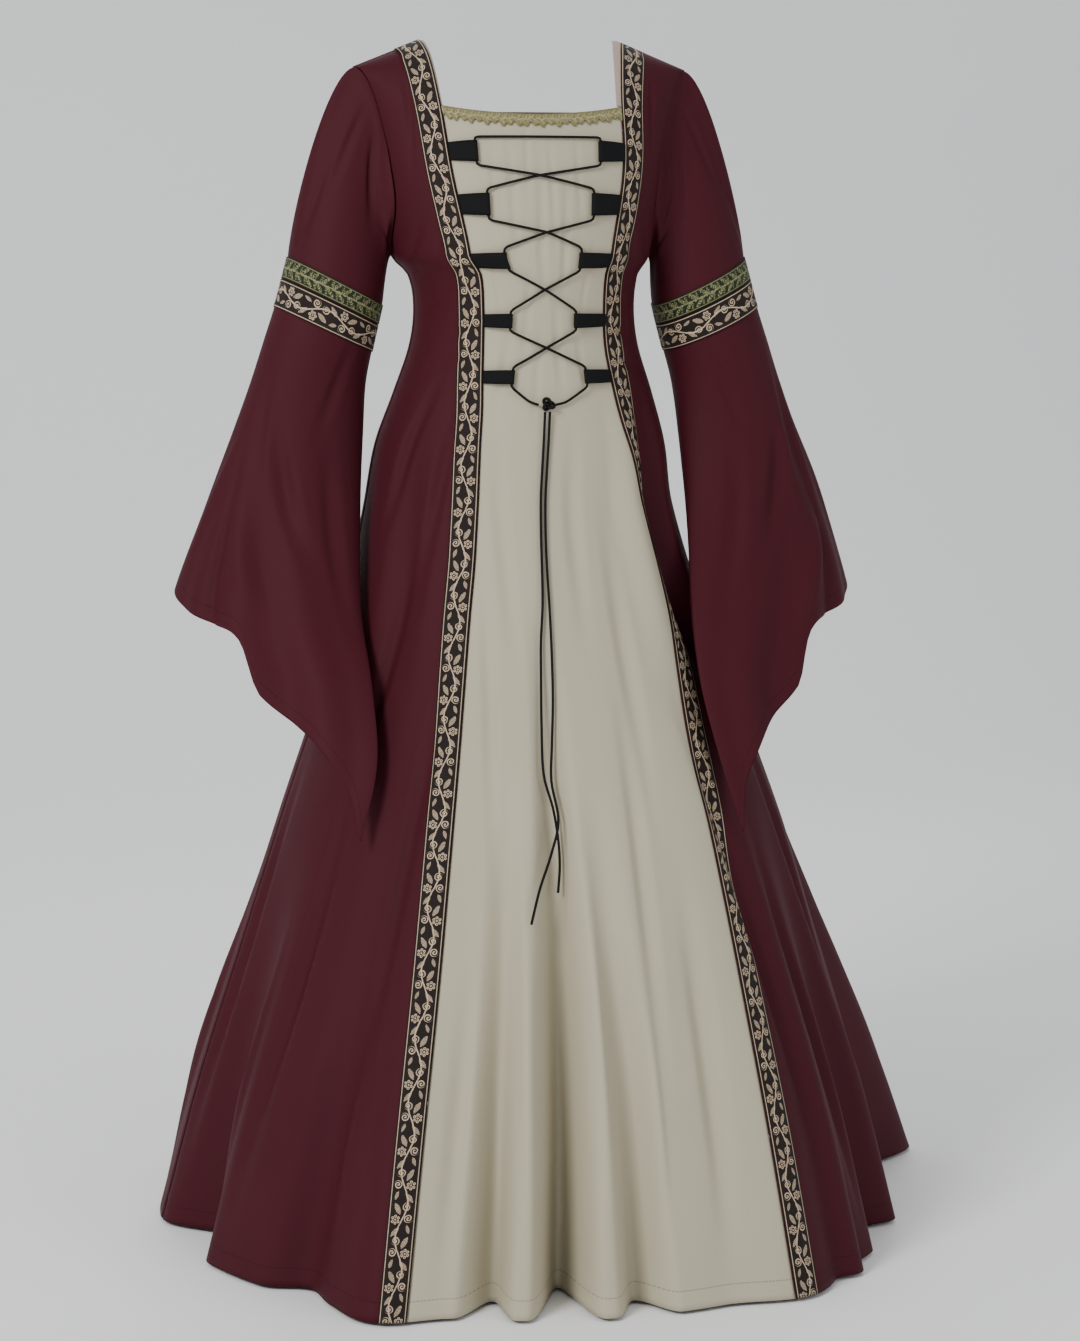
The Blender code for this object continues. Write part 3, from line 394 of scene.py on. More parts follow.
def read(rows, place, column):
    """Smooth value of a table's column at a place along its first column."""
    rows = sorted(rows, key=lambda row: row[0])
    where = 0
    while where < len(rows) - 2 and place > rows[where + 1][0]:
        where += 1
    low, high = rows[where], rows[where + 1]
    span = high[0] - low[0]
    share = min(1.0, max(0.0, (place - low[0]) / span))
    value_low, value_high = getattr(low, column), getattr(high, column)

    def slope(index):
        before, after = rows[max(0, index - 1)], rows[min(len(rows) - 1, index + 1)]
        return (getattr(after, column) - getattr(before, column)) / (after[0] - before[0])

    rise_low, rise_high = slope(where) * span, slope(where + 1) * span
    cubed, squared = share ** 3, share ** 2
    return ((2 * cubed - 3 * squared + 1) * value_low + (cubed - 2 * squared + share) * rise_low
            + (3 * squared - 2 * cubed) * value_high + (cubed - squared) * rise_high)


def turn_apart(angle, centre):
    """Signed difference of two angles in degrees, between -180 and 180."""
    return (angle - centre + 180.0) % 360.0 - 180.0


def hump(offset):
    """Soft hump from 1 at the middle to 0 at an offset of 1 either way."""
    if abs(offset) >= 1.0:
        return 0.0
    return 0.5 + 0.5 * math.cos(math.pi * offset)


def fold_height(angle, level):
    """How far the folds push the cloth out at a place on the skirt."""
    height = 0.0
    for fold in HEM_FOLDS:
        if level < fold.top:
            growth = (fold.top - level) / (fold.top - HEM_LEVEL)
            centre = fold.angle + fold.lean * (1.0 - growth)
            offset = turn_apart(angle, centre) / fold.half_width
            height += fold.depth * growth ** 1.3 * hump(offset)
    for fold in BODY_FOLDS:
        middle = (fold.top + fold.bottom) / 2
        half_height = (fold.top - fold.bottom) / 2
        along = hump((level - middle) / half_height)
        height += fold.depth * along * hump(turn_apart(angle, fold.angle) / fold.half_width)
    return height


def shoulder_ridge(x):
    """Height of the shoulder line above the origin at a distance from the middle."""
    return CAD_WALL - SHOULDER_SLOPE * max(0.0, abs(x) - STRAP_INNER_X)


@lru_cache(maxsize=None)
def section(level):
    """Half width, front depth, back depth and sideways shift of the gown at a level."""
    return tuple(read(SECTIONS, level, column) for column in ("half_width", "front_depth", "back_depth", "shift"))


def gown(angle, level):
    """Outer face of the gown at an angle and a level."""
    turn = math.radians(angle)
    half_width, front_depth, back_depth, shift = section(level)
    depth = front_depth if math.cos(turn) > 0 else back_depth
    across, along = math.sin(turn), -math.cos(turn)
    if level <= CHEST_LEVEL:
        outward = Vector((across / half_width, along / depth, 0.0)).normalized()
        base = Vector((shift + half_width * across, depth * along, level))
        return base + outward * fold_height(angle, level)
    risen = (level - CHEST_LEVEL) / (SHOULDER_LEVEL - CHEST_LEVEL)
    rise = math.radians(90.0) * risen
    fullness = abs(along) ** (1.0 - SHOULDER_FULLNESS * risen)
    x = shift + half_width * across
    y = math.copysign(depth * fullness, along) * max(0.0, math.cos(rise)) ** SHOULDER_CURL
    z = CHEST_LEVEL + (shoulder_ridge(x) - CHEST_LEVEL) * math.sin(rise)
    return Vector((x, y, z))


def gown_out(angle, level):
    """Unit direction straight out of the gown's outer face."""
    if level >= SHOULDER_LEVEL - 1e-6:
        slope = math.copysign(SHOULDER_SLOPE, math.sin(math.radians(angle)))
        return Vector((slope, 0.0, 1.0)).normalized()
    step_angle, step_level = 0.2, 0.001
    upper = min(SHOULDER_LEVEL, level + step_level)
    lower = max(HEM_LEVEL, level - step_level)
    if level > CHEST_LEVEL:
        lower = max(CHEST_LEVEL + 1e-5, lower)
    around = gown(angle + step_angle, level) - gown(angle - step_angle, level)
    rising = gown(angle, upper) - gown(angle, lower)
    return around.cross(rising).normalized()


@lru_cache(maxsize=None)
def ribbon_edge(side, level):
    """Angle of a front ribbon's inner edge, which is also the seam of the pale panel."""
    return read(SEAMS, level, side)


@lru_cache(maxsize=None)
def back_edge(side, level):
    """Angle of the seam between the centre back and a side back."""
    turn = read(SEAMS, level, "back")
    return 180.0 - turn if side == "right" else turn - 180.0


def angle_step(angle, level, distance):
    """Degrees that a distance along the ring takes at a place."""
    ring = (gown(angle + 0.5, level) - gown(angle - 0.5, level)).length
    return distance / ring


@lru_cache(maxsize=None)
def armhole(side_sign, level, half):
    """Angle of the armhole's edge, or of the side seam below the chest."""
    if level <= CHEST_LEVEL:
        return side_sign * 90.0
    from_front = read(ARMHOLE, level, half)
    return side_sign * (from_front if half == "front" else 180.0 - from_front)


def spread(first, last, share):
    return first + (last - first) * share


def sleeve(sign, turn, level):
    """Outer face of a sleeve below the arm: turn 0 is its outer side, 90 its front."""
    rows = SLEEVE_ROWS["left" if sign < 0 else "right"]
    angle = math.radians(turn)
    inner = Vector((read(rows, level, "inner_x"), read(rows, level, "inner_y"), level))
    outer = Vector((read(rows, level, "outer_x"), read(rows, level, "outer_y"), level))
    half_depth = read(rows, level, "half_depth")
    half_length = (outer - inner).length / 2
    outward = (outer - inner).normalized()
    frontward = Vector((outward.y, -outward.x, 0.0))
    flare = min(1.0, max(0.0, (FLARE_TOP - level) / (FLARE_TOP - FLARE_BOTTOM)))
    pinch = abs(math.sin(angle)) ** (SLEEVE_PINCH * flare)
    push = 0.0
    for fold in SLEEVE_FOLDS:
        if level < fold.top:
            growth = min(1.0, (fold.top - level) / (fold.top + 0.72))
            centre_turn = fold.turn + fold.lean * (1.0 - growth)
            push += fold.depth * growth * hump(turn_apart(turn, centre_turn) / fold.half_width)
    point = (inner + outer) / 2 + outward * half_length * math.cos(angle)
    point += frontward * (half_depth * math.sin(angle) * pinch + math.copysign(push, math.sin(angle)))
    return Vector((sign * point.x, point.y, point.z))


def band_level(line, turn):
    return line.level + line.tilt * math.cos(math.radians(turn))


def fold_axis(side, sign, row):
    """Angle of the middle of a loop's fold, where the lace runs."""
    fold = getattr(row, side + "_fold")
    return fold + sign * angle_step(fold, row.level, FOLD_RADIUS + LOOP_WALL)


def loop_centre_line(straight, standoff):
    """Along and off the cloth, and the outward normal, down the folded ribbon of a lace loop."""
    low = standoff + LOOP_WALL / 2
    bend = FOLD_RADIUS + LOOP_WALL / 2
    line = [(straight * share, low, 0.0, -1.0) for share in (0.0, 0.5)]
    for turn in (-90.0, -45.0, 0.0, 45.0, 90.0):
        angle = math.radians(turn)
        across, off = math.cos(angle), math.sin(angle)
        line.append((straight + bend * across, low + bend * (1.0 + off), across, off))
    top, rest = low + 2 * bend, low + LOOP_WALL + SEAM_GAP
    for share in (0.6, 0.0):
        line.append((straight * share, spread(rest, top, math.sin(share * math.pi / 2)), 0.0, 1.0))
    return line


def on_gown(point):
    return gown(point.angle, point.level) + gown_out(point.angle, point.level) * point.standoff


def between(first, last, share):
    """Route point part of the way from one to another."""
    return RoutePoint(*(spread(start, end, share) for start, end in zip(first, last)))


def bent_line(route, bend, step):
    """Points along straight runs over the cloth, with each corner of the route rounded."""
    points, leave = [on_gown(route[0])], route[0]
    for before, corner, after in zip(route, route[1:], route[2:]):
        reach_before = (on_gown(corner) - on_gown(before)).length
        reach_after = (on_gown(after) - on_gown(corner)).length
        arrive = between(corner, before, min(0.45, bend / reach_before))
        depart = between(corner, after, min(0.45, bend / reach_after))
        points += straight_run(leave, arrive, step)
        points.append(on_gown(between(between(arrive, corner, 0.5), between(corner, depart, 0.5), 0.5)))
        points.append(on_gown(depart))
        leave = depart
    return points + straight_run(leave, route[-1], step)


def straight_run(first, last, step):
    pieces = max(1, round((on_gown(last) - on_gown(first)).length / step))
    return [on_gown(between(first, last, (piece + 1) / pieces)) for piece in range(pieces)]


def smooth_line(route, step):
    """Points along a smooth curve through the route points."""
    knots = [on_gown(point) for point in route]
    knots = [knots[0] * 2 - knots[1]] + knots + [knots[-1] * 2 - knots[-2]]
    points = []
    for before, start, end, after in zip(knots, knots[1:], knots[2:], knots[3:]):
        pieces = max(1, round((end - start).length / step))
        for piece in range(pieces):
            share = piece / pieces
            points.append(0.5 * (2 * start + (end - before) * share
                                 + (2 * before - 5 * start + 4 * end - after) * share ** 2
                                 + (3 * start - before - 3 * end + after) * share ** 3))
    return points + [knots[-2]]


def through_loop(side, row, rising):
    """The two route points just below and above a loop, in the order that the lace takes."""
    sign = -1 if side == "left" else 1
    axis = fold_axis(side, sign, row)
    clear = LOOP_HEIGHT / 2 + LACE_BEND * 0.7
    off = row.standoff + LACE_STANDOFF
    points = [RoutePoint(axis, row.level + above, off) for above in (-clear, clear)]
    return points if rising else points[::-1]


def lace_route():
    """From the knot up one way through the loops, across the neck and down the other way."""
    other = {"left": "right", "right": "left"}
    side, up = "right", []
    for number in range(len(LOOP_ROWS) - 1, -1, -1):
        up += through_loop(side, LOOP_ROWS[number], True)
        if number:
            crossing = CROSSINGS[number - 1]
            up.append(crossing._replace(standoff=CROSSING_SUM - crossing.standoff))
        side = other[side]
    side, down = "left", []
    for number, row in enumerate(LOOP_ROWS):
        if number:
            down.append(CROSSINGS[number - 1])
        down += through_loop(side, row, False)
        side = other[side]
    start = RoutePoint(KNOT.angle + 3.6, KNOT.level + 0.0005, KNOT.standoff - 0.001)
    rising = RoutePoint(KNOT.angle + 8.0, KNOT.level + 0.003, KNOT.standoff - 0.002)
    falling = RoutePoint(KNOT.angle - 7.5, KNOT.level + 0.004, KNOT.standoff - 0.002)
    end = RoutePoint(KNOT.angle - 3.6, KNOT.level + 0.0005, KNOT.standoff - 0.001)
    return [start, rising] + up + down + [falling, end]



def crease_height(creases, angle, level, per_degree):
    """How far the creases push the cloth out at a place."""
    height = 0.0
    for crease in creases:
        rise = level - crease.level
        if abs(rise) > crease.half_length + crease.half_width:
            continue
        aside = turn_apart(angle, crease.angle) * per_degree
        tilt = math.radians(crease.tilt)
        along = rise * math.cos(tilt) + aside * math.sin(tilt)
        across = aside * math.cos(tilt) - rise * math.sin(tilt)
        height += crease.depth * hump(along / crease.half_length) * hump(across / crease.half_width)
    return height


def worn_gown(angle, level):
    """Outer face of the gown with its finer creases."""
    half_width, front_depth, back_depth, shift = section(level)
    turn = math.radians(angle)
    depth = front_depth if math.cos(turn) > 0 else back_depth
    outward = Vector((math.sin(turn) / half_width, -math.cos(turn) / depth, 0.0)).normalized()
    strength = bpy.context.scene.gown_sizes.crease_strength
    fading = min(1.0, max(0.0, -level / 0.05))
    per_degree = math.radians(half_width + depth) / 2
    return gown(angle, level) + outward * crease_height(BODY_CREASES, angle, level, per_degree) * strength * fading


def sleeve_place(column):
    """Level and half of the armhole's edge for a sleeve column between 0 and 1."""
    last = len(UPPER_LEVELS) - 1
    climb = 2.0 * last * column
    half = "front" if climb <= last else "back"
    climb = climb if climb <= last else 2 * last - climb
    levels = UPPER_LEVELS[::-1]
    where = min(last - 1, int(climb))
    return spread(levels[where], levels[where + 1], climb - where), half, climb


@lru_cache(maxsize=None)
def cap_ends(sign, column):
    """Start, end and pulls of the line that a sleeve column takes over the cap."""
    last = len(UPPER_LEVELS) - 1
    level, half, climb = sleeve_place(column)
    angle = armhole(sign, level, half)
    out = gown_out(angle, level)
    side = Vector((sign, 0.0, 0.0))
    near_armpit = hump((climb - last) / 4.0)
    leave = (side - out * side.dot(out) * (1.0 - near_armpit)).normalized()
    start = gown(angle, level) + leave * ARMHOLE_GAP
    turn = 360.0 * column
    top = band_level(BAND_TOP, turn)
    end = sleeve(sign, turn, top)
    arrive = (end - sleeve(sign, turn, top + 0.01)).normalized()
    reach = (end - start).length
    height = 0.5 + 0.5 * math.cos(math.radians(turn))
    return start, end, leave * reach * spread(0.25, 0.40, height), arrive * reach * 0.9


def cap(sign, column, share):
    """Outer face of the sleeve cap, from the armhole at 0 to the top of the arm band at 1."""
    start, end, leave, arrive = cap_ends(sign, column)
    cubed, squared = share ** 3, share ** 2
    return (start * (2 * cubed - 3 * squared + 1) + leave * (cubed - 2 * squared + share)
            + end * (3 * squared - 2 * cubed) + arrive * (cubed - squared))


def sleeve_middle(sign, level):
    rows = SLEEVE_ROWS["left" if sign < 0 else "right"]
    level = min(level, rows[0].level)
    x = (read(rows, level, "inner_x") + read(rows, level, "outer_x")) / 2
    return Vector((sign * x, (read(rows, level, "inner_y") + read(rows, level, "outer_y")) / 2, level))


def worn_sleeve(sign, turn, point, off=0.0):
    """A sleeve's point with its finer creases, moved out by off."""
    middle = sleeve_middle(sign, point.z)
    outward = Vector((point.x - middle.x, point.y - middle.y, 0.0)).normalized()
    mirrored = turn if sign < 0 else turn + 9.0
    height = crease_height(SLEEVE_CREASES, mirrored, point.z, SLEEVE_GIRTH / 360.0)
    clear = min(1.0, (point - cap_ends(sign, (turn / 360.0) % 1.0)[0]).length / 0.04)
    return point + outward * (height * clear * bpy.context.scene.gown_sizes.crease_strength + off)


class Field:
    """A number over a surface, worked out by shader nodes; the usual signs join two of them."""

    def __init__(self, tree, socket):
        self.tree = tree
        self.socket = socket

    def math(self, operation, *others, clamp=False):
        node = self.tree.nodes.new("ShaderNodeMath")
        node.operation = operation
        node.use_clamp = clamp
        self.tree.links.new(self.socket, node.inputs[0])
        for socket, other in zip(node.inputs[1:], others):
            if isinstance(other, Field):
                self.tree.links.new(other.socket, socket)
            else:
                socket.default_value = other
        return Field(self.tree, node.outputs[0])

    def __add__(self, other):
        return self.math("ADD", other)

    def __sub__(self, other):
        return self.math("SUBTRACT", other)

    def __mul__(self, other):
        return self.math("MULTIPLY", other)

    def __abs__(self):
        return self.math("ABSOLUTE")

    def repeat(self, length):
        return self.math("FLOORED_MODULO", length)

    def joined(self, other):
        return self.math("MAXIMUM", other)

    def below(self, limit, soft):
        """1 where the number is below the limit, fading to 0 over soft."""
        return self.math("MULTIPLY_ADD", -1.0 / soft, limit / soft + 0.5, clamp=True)


def length_of(x, y):
    return (x * x + y * y).math("SQRT")


def pattern_place(tree):
    """The piece's own UV, in metres across and along."""
    uv = tree.nodes.new("ShaderNodeUVMap")
    uv.uv_map = "UVMap"
    parts = tree.nodes.new("ShaderNodeSeparateXYZ")
    tree.links.new(uv.outputs["UV"], parts.inputs[0])
    return Field(tree, parts.outputs[0]), Field(tree, parts.outputs[1])


def noise(tree, scale, detail, source="Object"):
    """Soft noise over the cloth, from 0 to 1."""
    place = tree.nodes.new("ShaderNodeTexCoord")
    node = tree.nodes.new("ShaderNodeTexNoise")
    node.inputs["Scale"].default_value = scale
    node.inputs["Detail"].default_value = detail
    tree.links.new(place.outputs[source], node.inputs["Vector"])
    return Field(tree, node.outputs["Fac"])


def wander(tree, field, scale, amount):
    """A field nudged by noise, as threads wander in weaving."""
    return field + (noise(tree, scale, 1.0) - 0.5) * amount


def flower(x, y):
    """A grape-like cluster: six dots in a ring round one more."""
    radius, turn = length_of(x, y), y.math("ARCTAN2", x)
    folded = (turn + math.pi).repeat(math.pi / 3) - math.pi / 6
    dot_x = radius * folded.math("COSINE") - 0.0036
    dot_y = radius * folded.math("SINE")
    ring = abs(length_of(dot_x, dot_y) - 0.0011).below(0.00045, 0.0003)
    return ring.joined(radius.below(0.0010, 0.0004))


def curl(x, y, hand):
    """A tendril rolled up in a spiral."""
    radius, turn = length_of(x, y), y.math("ARCTAN2", x)
    winding = (radius * (1 / 0.0027) + turn * (hand / (2 * math.pi))).repeat(1.0)
    return abs(winding - 0.5).below(0.23, 0.12) * radius.below(0.0046, 0.0004)


def leaf(x, y, turn, long, wide, stroke):
    """A pointed leaf filled with slanting strokes."""
    cosine, sine = math.cos(math.radians(turn)), math.sin(math.radians(turn))
    along, across = x * cosine + y * sine, y * cosine - x * sine
    swell = (along * (1 / long)).math("POWER", 2.0)
    inside = (abs(across) * (1 / wide) + swell).below(1.0, 0.12)
    strokes = abs((along + abs(across) * 0.9).repeat(stroke) * (1 / stroke) - 0.5).below(0.30, 0.16)
    return inside * strokes


def vine(tree, across, along, width):
    """A running vine with flower clusters and tendrils that change sides, between two thin lines."""
    across = wander(tree, across - width / 2, 260.0, 0.0012)
    along = wander(tree, along, 210.0, 0.0016)
    swing = (along * (2 * math.pi / VINE_REPEAT)).math("SINE")
    stem = abs(across - swing * 0.0052).below(0.00075, 0.0004)
    mask = stem
    for side, start in ((1.0, 0.0), (-1.0, VINE_REPEAT / 2)):
        x = across * side
        y = (along + start).repeat(VINE_REPEAT) - VINE_REPEAT / 2
        mask = mask.joined(flower(x - 0.0068, y - 0.001))
        mask = mask.joined(curl(x + 0.0072, y - 0.002, side))
        mask = mask.joined(leaf(x - 0.0052, y - 0.0125, 62.0, 0.0072, 0.0027, 0.0017))
        mask = mask.joined(leaf(x - 0.0062, y + 0.0120, -50.0, 0.0066, 0.0024, 0.0017))
        mask = mask.joined(leaf(x + 0.0075, y + 0.0095, 70.0, 0.0052, 0.0019, 0.0015))
        mask = mask.joined(curl(x + 0.0046, y - 0.0145, -side) * 0.9)
    room = abs(across).below(width / 2 - 0.0035, 0.0006)
    return mask * room


def edge_lines(across, width):
    return abs(abs(across - width / 2) - (width / 2 - 0.0019)).below(0.00045, 0.0003)


def garland(tree, across, along, width, repeat):
    """Ragged leaves on both sides of a stem."""
    size = width / 0.022
    x0 = wander(tree, across - width / 2, 420.0, 0.0034 * size)
    y0 = wander(tree, along, 380.0, 0.0036 * size)
    mask = abs(x0).below(0.0009 * size, 0.0006 * size)
    for side, start in ((1.0, 0.0), (-1.0, repeat * 0.45)):
        x = x0 * side
        y = (y0 + start).repeat(repeat) - repeat / 2
        mask = mask.joined(leaf(x - 0.0046 * size, y, 52.0, 0.0066 * size, 0.0021 * size, 0.0030 * size))
        mask = mask.joined(leaf(x - 0.0035 * size, y + repeat * 0.42, 20.0, 0.0052 * size, 0.0016 * size,
                                0.0026 * size) * 0.8)
    return mask


def new_material(name, roughness):
    finish = bpy.data.materials.new(name)
    finish.use_nodes = True
    shader = finish.node_tree.nodes["Principled BSDF"]
    shader.inputs["Roughness"].default_value = roughness
    shader.inputs["Specular IOR Level"].default_value = 0.15
    return finish, finish.node_tree, shader


def mixed(tree, factor, first, last):
    """Colour that runs from first to last by a field; either may be a colour or another mix."""
    node = tree.nodes.new("ShaderNodeMix")
    node.data_type = "RGBA"
    tree.links.new(factor.socket, node.inputs["Factor"])
    for socket, colour in ((node.inputs[6], first), (node.inputs[7], last)):
        if isinstance(colour, bpy.types.NodeSocket):
            tree.links.new(colour, socket)
        else:
            socket.default_value = (*colour[:3], 1.0)
    return node.outputs[2]


def raise_surface(tree, shader, height, distance, strength=1.0):
    bump = tree.nodes.new("ShaderNodeBump")
    bump.inputs["Distance"].default_value = distance
    bump.inputs["Strength"].default_value = strength
    tree.links.new(height.socket, bump.inputs["Height"])
    tree.links.new(bump.outputs[0], shader.inputs["Normal"])


def stitches(tree, across, along, hem):
    """A line of short stitches at a height above the hem."""
    line = abs(along - hem).below(0.0006, 0.0004)
    dash = abs(across.repeat(0.0034) * (1 / 0.0034) - 0.5).below(0.34, 0.1)
    return line * dash


def cloth_material(name, colour, light, sheen, hem):
    """Fine stretch knit with a soft sheen, mottled a little, with the hem's stitch line."""
    finish, tree, shader = new_material(name, 0.68)
    across, along = pattern_place(tree)
    tone = noise(tree, 5.0, 3.0) * 0.6 + noise(tree, 900.0, 2.0) * 0.4
    shade = mixed(tree, tone, colour, light)
    ribs = (across * (2 * math.pi / 0.0011)).math("SINE") * 0.5
    knit = noise(tree, 1300.0, 2.0) + ribs * 0.35
    if hem:
        line = stitches(tree, across, along, hem)
        shade = mixed(tree, line * 0.55, shade, tuple(channel * 0.35 for channel in colour[:3]))
        knit = knit - line * 2.0
    tree.links.new(shade, shader.inputs["Base Color"])
    raise_surface(tree, shader, knit, 0.00018, 0.5)
    shader.inputs["Sheen Weight"].default_value = sheen
    shader.inputs["Sheen Roughness"].default_value = 0.45
    shader.inputs["Sheen Tint"].default_value = (*light[:3], 1.0)
    return finish


def woven_material(name, kind, width):
    """Jacquard ribbon or leafy braid: pale threads raised on a dark ground."""
    colours = bpy.context.scene.gown_colours
    finish, tree, shader = new_material(name, 0.62)
    across, along = pattern_place(tree)
    weft = (along * (2 * math.pi / 0.0007)).math("SINE") * 0.25
    if kind == "vine":
        figure = vine(tree, across, along, width).joined(edge_lines(across, width))
        ground, thread, second = (0.010, 0.007, 0.006), colours.vine_thread, (0.42, 0.30, 0.19)
    elif kind == "garland":
        figure = garland(tree, across, along, width, GARLAND_REPEAT)
        figure = figure.joined(edge_lines(across, width) * 0.9)
        ground, thread, second = (0.012, 0.014, 0.008), colours.garland_thread, (0.085, 0.095, 0.034)
    else:
        figure = garland(tree, across, along, width, BRAID_REPEAT)
        ground, thread, second = (0.13, 0.115, 0.050), colours.braid_thread, (0.26, 0.23, 0.10)
    shade = mixed(tree, noise(tree, 330.0, 2.0), thread, second)
    ground_shade = mixed(tree, noise(tree, 700.0, 2.0), ground, tuple(channel * 2.2 for channel in ground))
    tree.links.new(mixed(tree, figure, ground_shade, shade), shader.inputs["Base Color"])
    raise_surface(tree, shader, figure + weft + noise(tree, 1500.0, 1.0) * 0.4, 0.0004, 0.7)
    return finish


def plain_material(name, colour, rib, roughness):
    """Ribbed tape or braided cord, with ribs across its run."""
    finish, tree, shader = new_material(name, roughness)
    across, along = pattern_place(tree)
    ribs = (along * (2 * math.pi / rib)).math("SINE") * 0.5
    shade = mixed(tree, noise(tree, 800.0, 2.0), colour, tuple(channel * 1.7 for channel in colour))
    tree.links.new(shade, shader.inputs["Base Color"])
    raise_surface(tree, shader, ribs + noise(tree, 1500.0, 1.0) * 0.5, 0.00022, 0.6)
    return finish


def cord_material(name):
    """Braided black cord: strands cross both ways round it, with painted shade between the strands and a painted
    highlight on their crests.
    """
    colour = tuple(bpy.context.scene.gown_colours.lace)
    finish, tree, shader = new_material(name, 0.55)
    across, along = pattern_place(tree)
    strands = ((across * (12 * math.pi) + along * (2 * math.pi / 0.0040)).math("SINE")
               .math("MAXIMUM", (across * (12 * math.pi) - along * (2 * math.pi / 0.0040)).math("SINE")))
    # painted shade and highlight: the black runs from half to 2.4 times its tone by the strand relief, darker
    # between strands and lighter on their crests
    shade = mixed(tree, strands * 0.5 + 0.5, tuple(channel * 0.5 for channel in colour),
                  tuple(channel * 2.4 for channel in colour))
    tree.links.new(shade, shader.inputs["Base Color"])
    raise_surface(tree, shader, strands, 0.00035, 0.9)
    return finish


def finish_piece(piece, finish, slot, *nodes):
    """Gives a piece its material and body, and hides the frame's plain nodes that it stands for; the slot is not
    used.
    """
    piece.data.materials.append(finish)
    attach(piece, "root")
    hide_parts(*nodes)


def cloth_piece(name, columns, rows, place, middle, thickness, closed=False):
    """A thin cloth shell from a grid; place(column, row), from 0 to 1, gives its point and UV in metres."""
    mesh = bmesh.new()
    uv_layer = mesh.loops.layers.uv.new("UVMap")
    bmesh.ops.create_grid(mesh, x_segments=columns, y_segments=rows, size=1.0)
    where = {}
    lines = {}
    for vert in mesh.verts:
        column = round((vert.co.x + 1.0) / 2.0 * columns)
        row = round((vert.co.y + 1.0) / 2.0 * rows)
        point, spot = place(column / columns, row / rows)
        vert.co = point
        where[vert] = spot
        lines[column, row] = point
    for face in mesh.faces:
        for loop in face.loops:
            loop[uv_layer].uv = where[loop.vert]
    width = max(sum((lines[c + 1, r] - lines[c, r]).length for c in range(columns)) for r in range(rows + 1))
    length = max(sum((lines[c, r + 1] - lines[c, r]).length for r in range(rows)) for c in range(columns + 1))
    area = sum(face.calc_area() for face in mesh.faces)
    if closed:
        bmesh.ops.remove_doubles(mesh, verts=mesh.verts[:], dist=0.00001)
    outward = 0.0
    for face in mesh.faces:
        centre = face.calc_center_median()
        away = centre - middle(centre.z)
        away.z = 0.0
        outward += face.normal.dot(away) * face.calc_area()
    if outward < 0.0:
        bmesh.ops.reverse_faces(mesh, faces=mesh.faces[:])
    data = bpy.data.meshes.new(name)
    mesh.to_mesh(data)
    mesh.free()
    data.shade_smooth()
    piece = bpy.data.objects.new(name, data)
    bpy.context.scene.collection.objects.link(piece)
    wall = piece.modifiers.new("Thickness", "SOLIDIFY")
    wall.thickness = thickness
    wall.offset = -1.0
    return piece, (round(width + 0.0005, 3), round(length + 0.0005, 3)), area


def declare_cloth(flat, area):
    if flat[0] < SHEET_WIDTH_LEAST:
        return
    round(min(area, flat[0] * flat[1]), 5)


def gown_middle(z):
    return Vector((0.0, 0.0, z))


def rolled_in(share, width, reach=0.004, depth=0.0009):
    """How far a panel's edge rolls in to its seam, at a share of the panel's width."""
    near = min(share, 1.0 - share) * width
    return -depth * max(0.0, 1.0 - near / reach) ** 2


def panel_point(angle, level, share, width):
    half_width, front_depth, back_depth, shift = section(level)
    turn = math.radians(angle)
    outward = Vector((math.sin(turn), -math.cos(turn), 0.0))
    return worn_gown(angle, level) + outward * rolled_in(share, width)


def level_rows(top, rows_low, rows_high):
    """Levels from the hem to the top of a panel, as evenly as the two stretches allow."""
    low = [spread(HEM_LEVEL, CHEST_LEVEL, k / rows_low) for k in range(rows_low)]
    return low + [spread(CHEST_LEVEL, top, k / rows_high) for k in range(rows_high + 1)]


def centre_panel(name, edges, dip, columns, finish, slot):
    """The pale centre front or the wine centre back."""
    levels = level_rows(NECK_LEVEL, 160, 28)

    def place(column, row):
        level = levels[round(row * (len(levels) - 1))]
        first, last = edges(level)
        gap = angle_step(first, level, SEAM_GAP / 2)
        angle = spread(first + gap, last - gap, column)
        width = (last - first) * math.radians(section(level)[0])
        if level > CHEST_LEVEL:
            middle = 1.0 - (2.0 * column - 1.0) ** 2
            level -= dip * middle * (level - CHEST_LEVEL) / (NECK_LEVEL - CHEST_LEVEL)
        return panel_point(angle, level, column, width), (column * width, level - HEM_LEVEL)

    piece, flat, area = cloth_piece(name + "_cloth", columns, len(levels) - 1, place, gown_middle,
                                    bpy.context.scene.gown_sizes.cloth)
    finish_piece(piece, finish, slot, name)
    declare_cloth(flat, area)


def front_edges(level):
    return ribbon_edge("left", level), ribbon_edge("right", level)


def back_edges(level):
    return back_edge("right", level), back_edge("left", level) + 360.0


def side_panel(side, sign, half, columns, finish):
    """A wine side panel with its shoulder strap."""
    levels = level_rows(SHOULDER_LEVEL, 160, 52)
    name = "side_%s_%s" % (half, side)

    def place(column, row):
        level = levels[round(row * (len(levels) - 1))]
        inner = ribbon_edge(side, level) if half == "front" else back_edge(side, level)
        outer = armhole(sign, level, half)
        way = sign if half == "front" else -sign
        gap = angle_step(inner, level, SEAM_GAP / 2)
        side_gap = gap if level <= CHEST_LEVEL else 0.0
        angle = spread(outer - way * side_gap, inner + way * gap, column)
        width = abs(outer - inner) * math.radians(section(level)[0])
        point = panel_point(angle, level, column, width)
        if level >= SHOULDER_LEVEL:
            point.y += -SEAM_GAP / 2 if half == "front" else SEAM_GAP / 2
        return point, (column * width, level - HEM_LEVEL)

    piece, flat, area = cloth_piece(name + "_cloth", columns, len(levels) - 1, place, gown_middle,
                                    bpy.context.scene.gown_sizes.cloth)
    finish_piece(piece, finish, "wine_cloth", name)
    declare_cloth(flat, area)


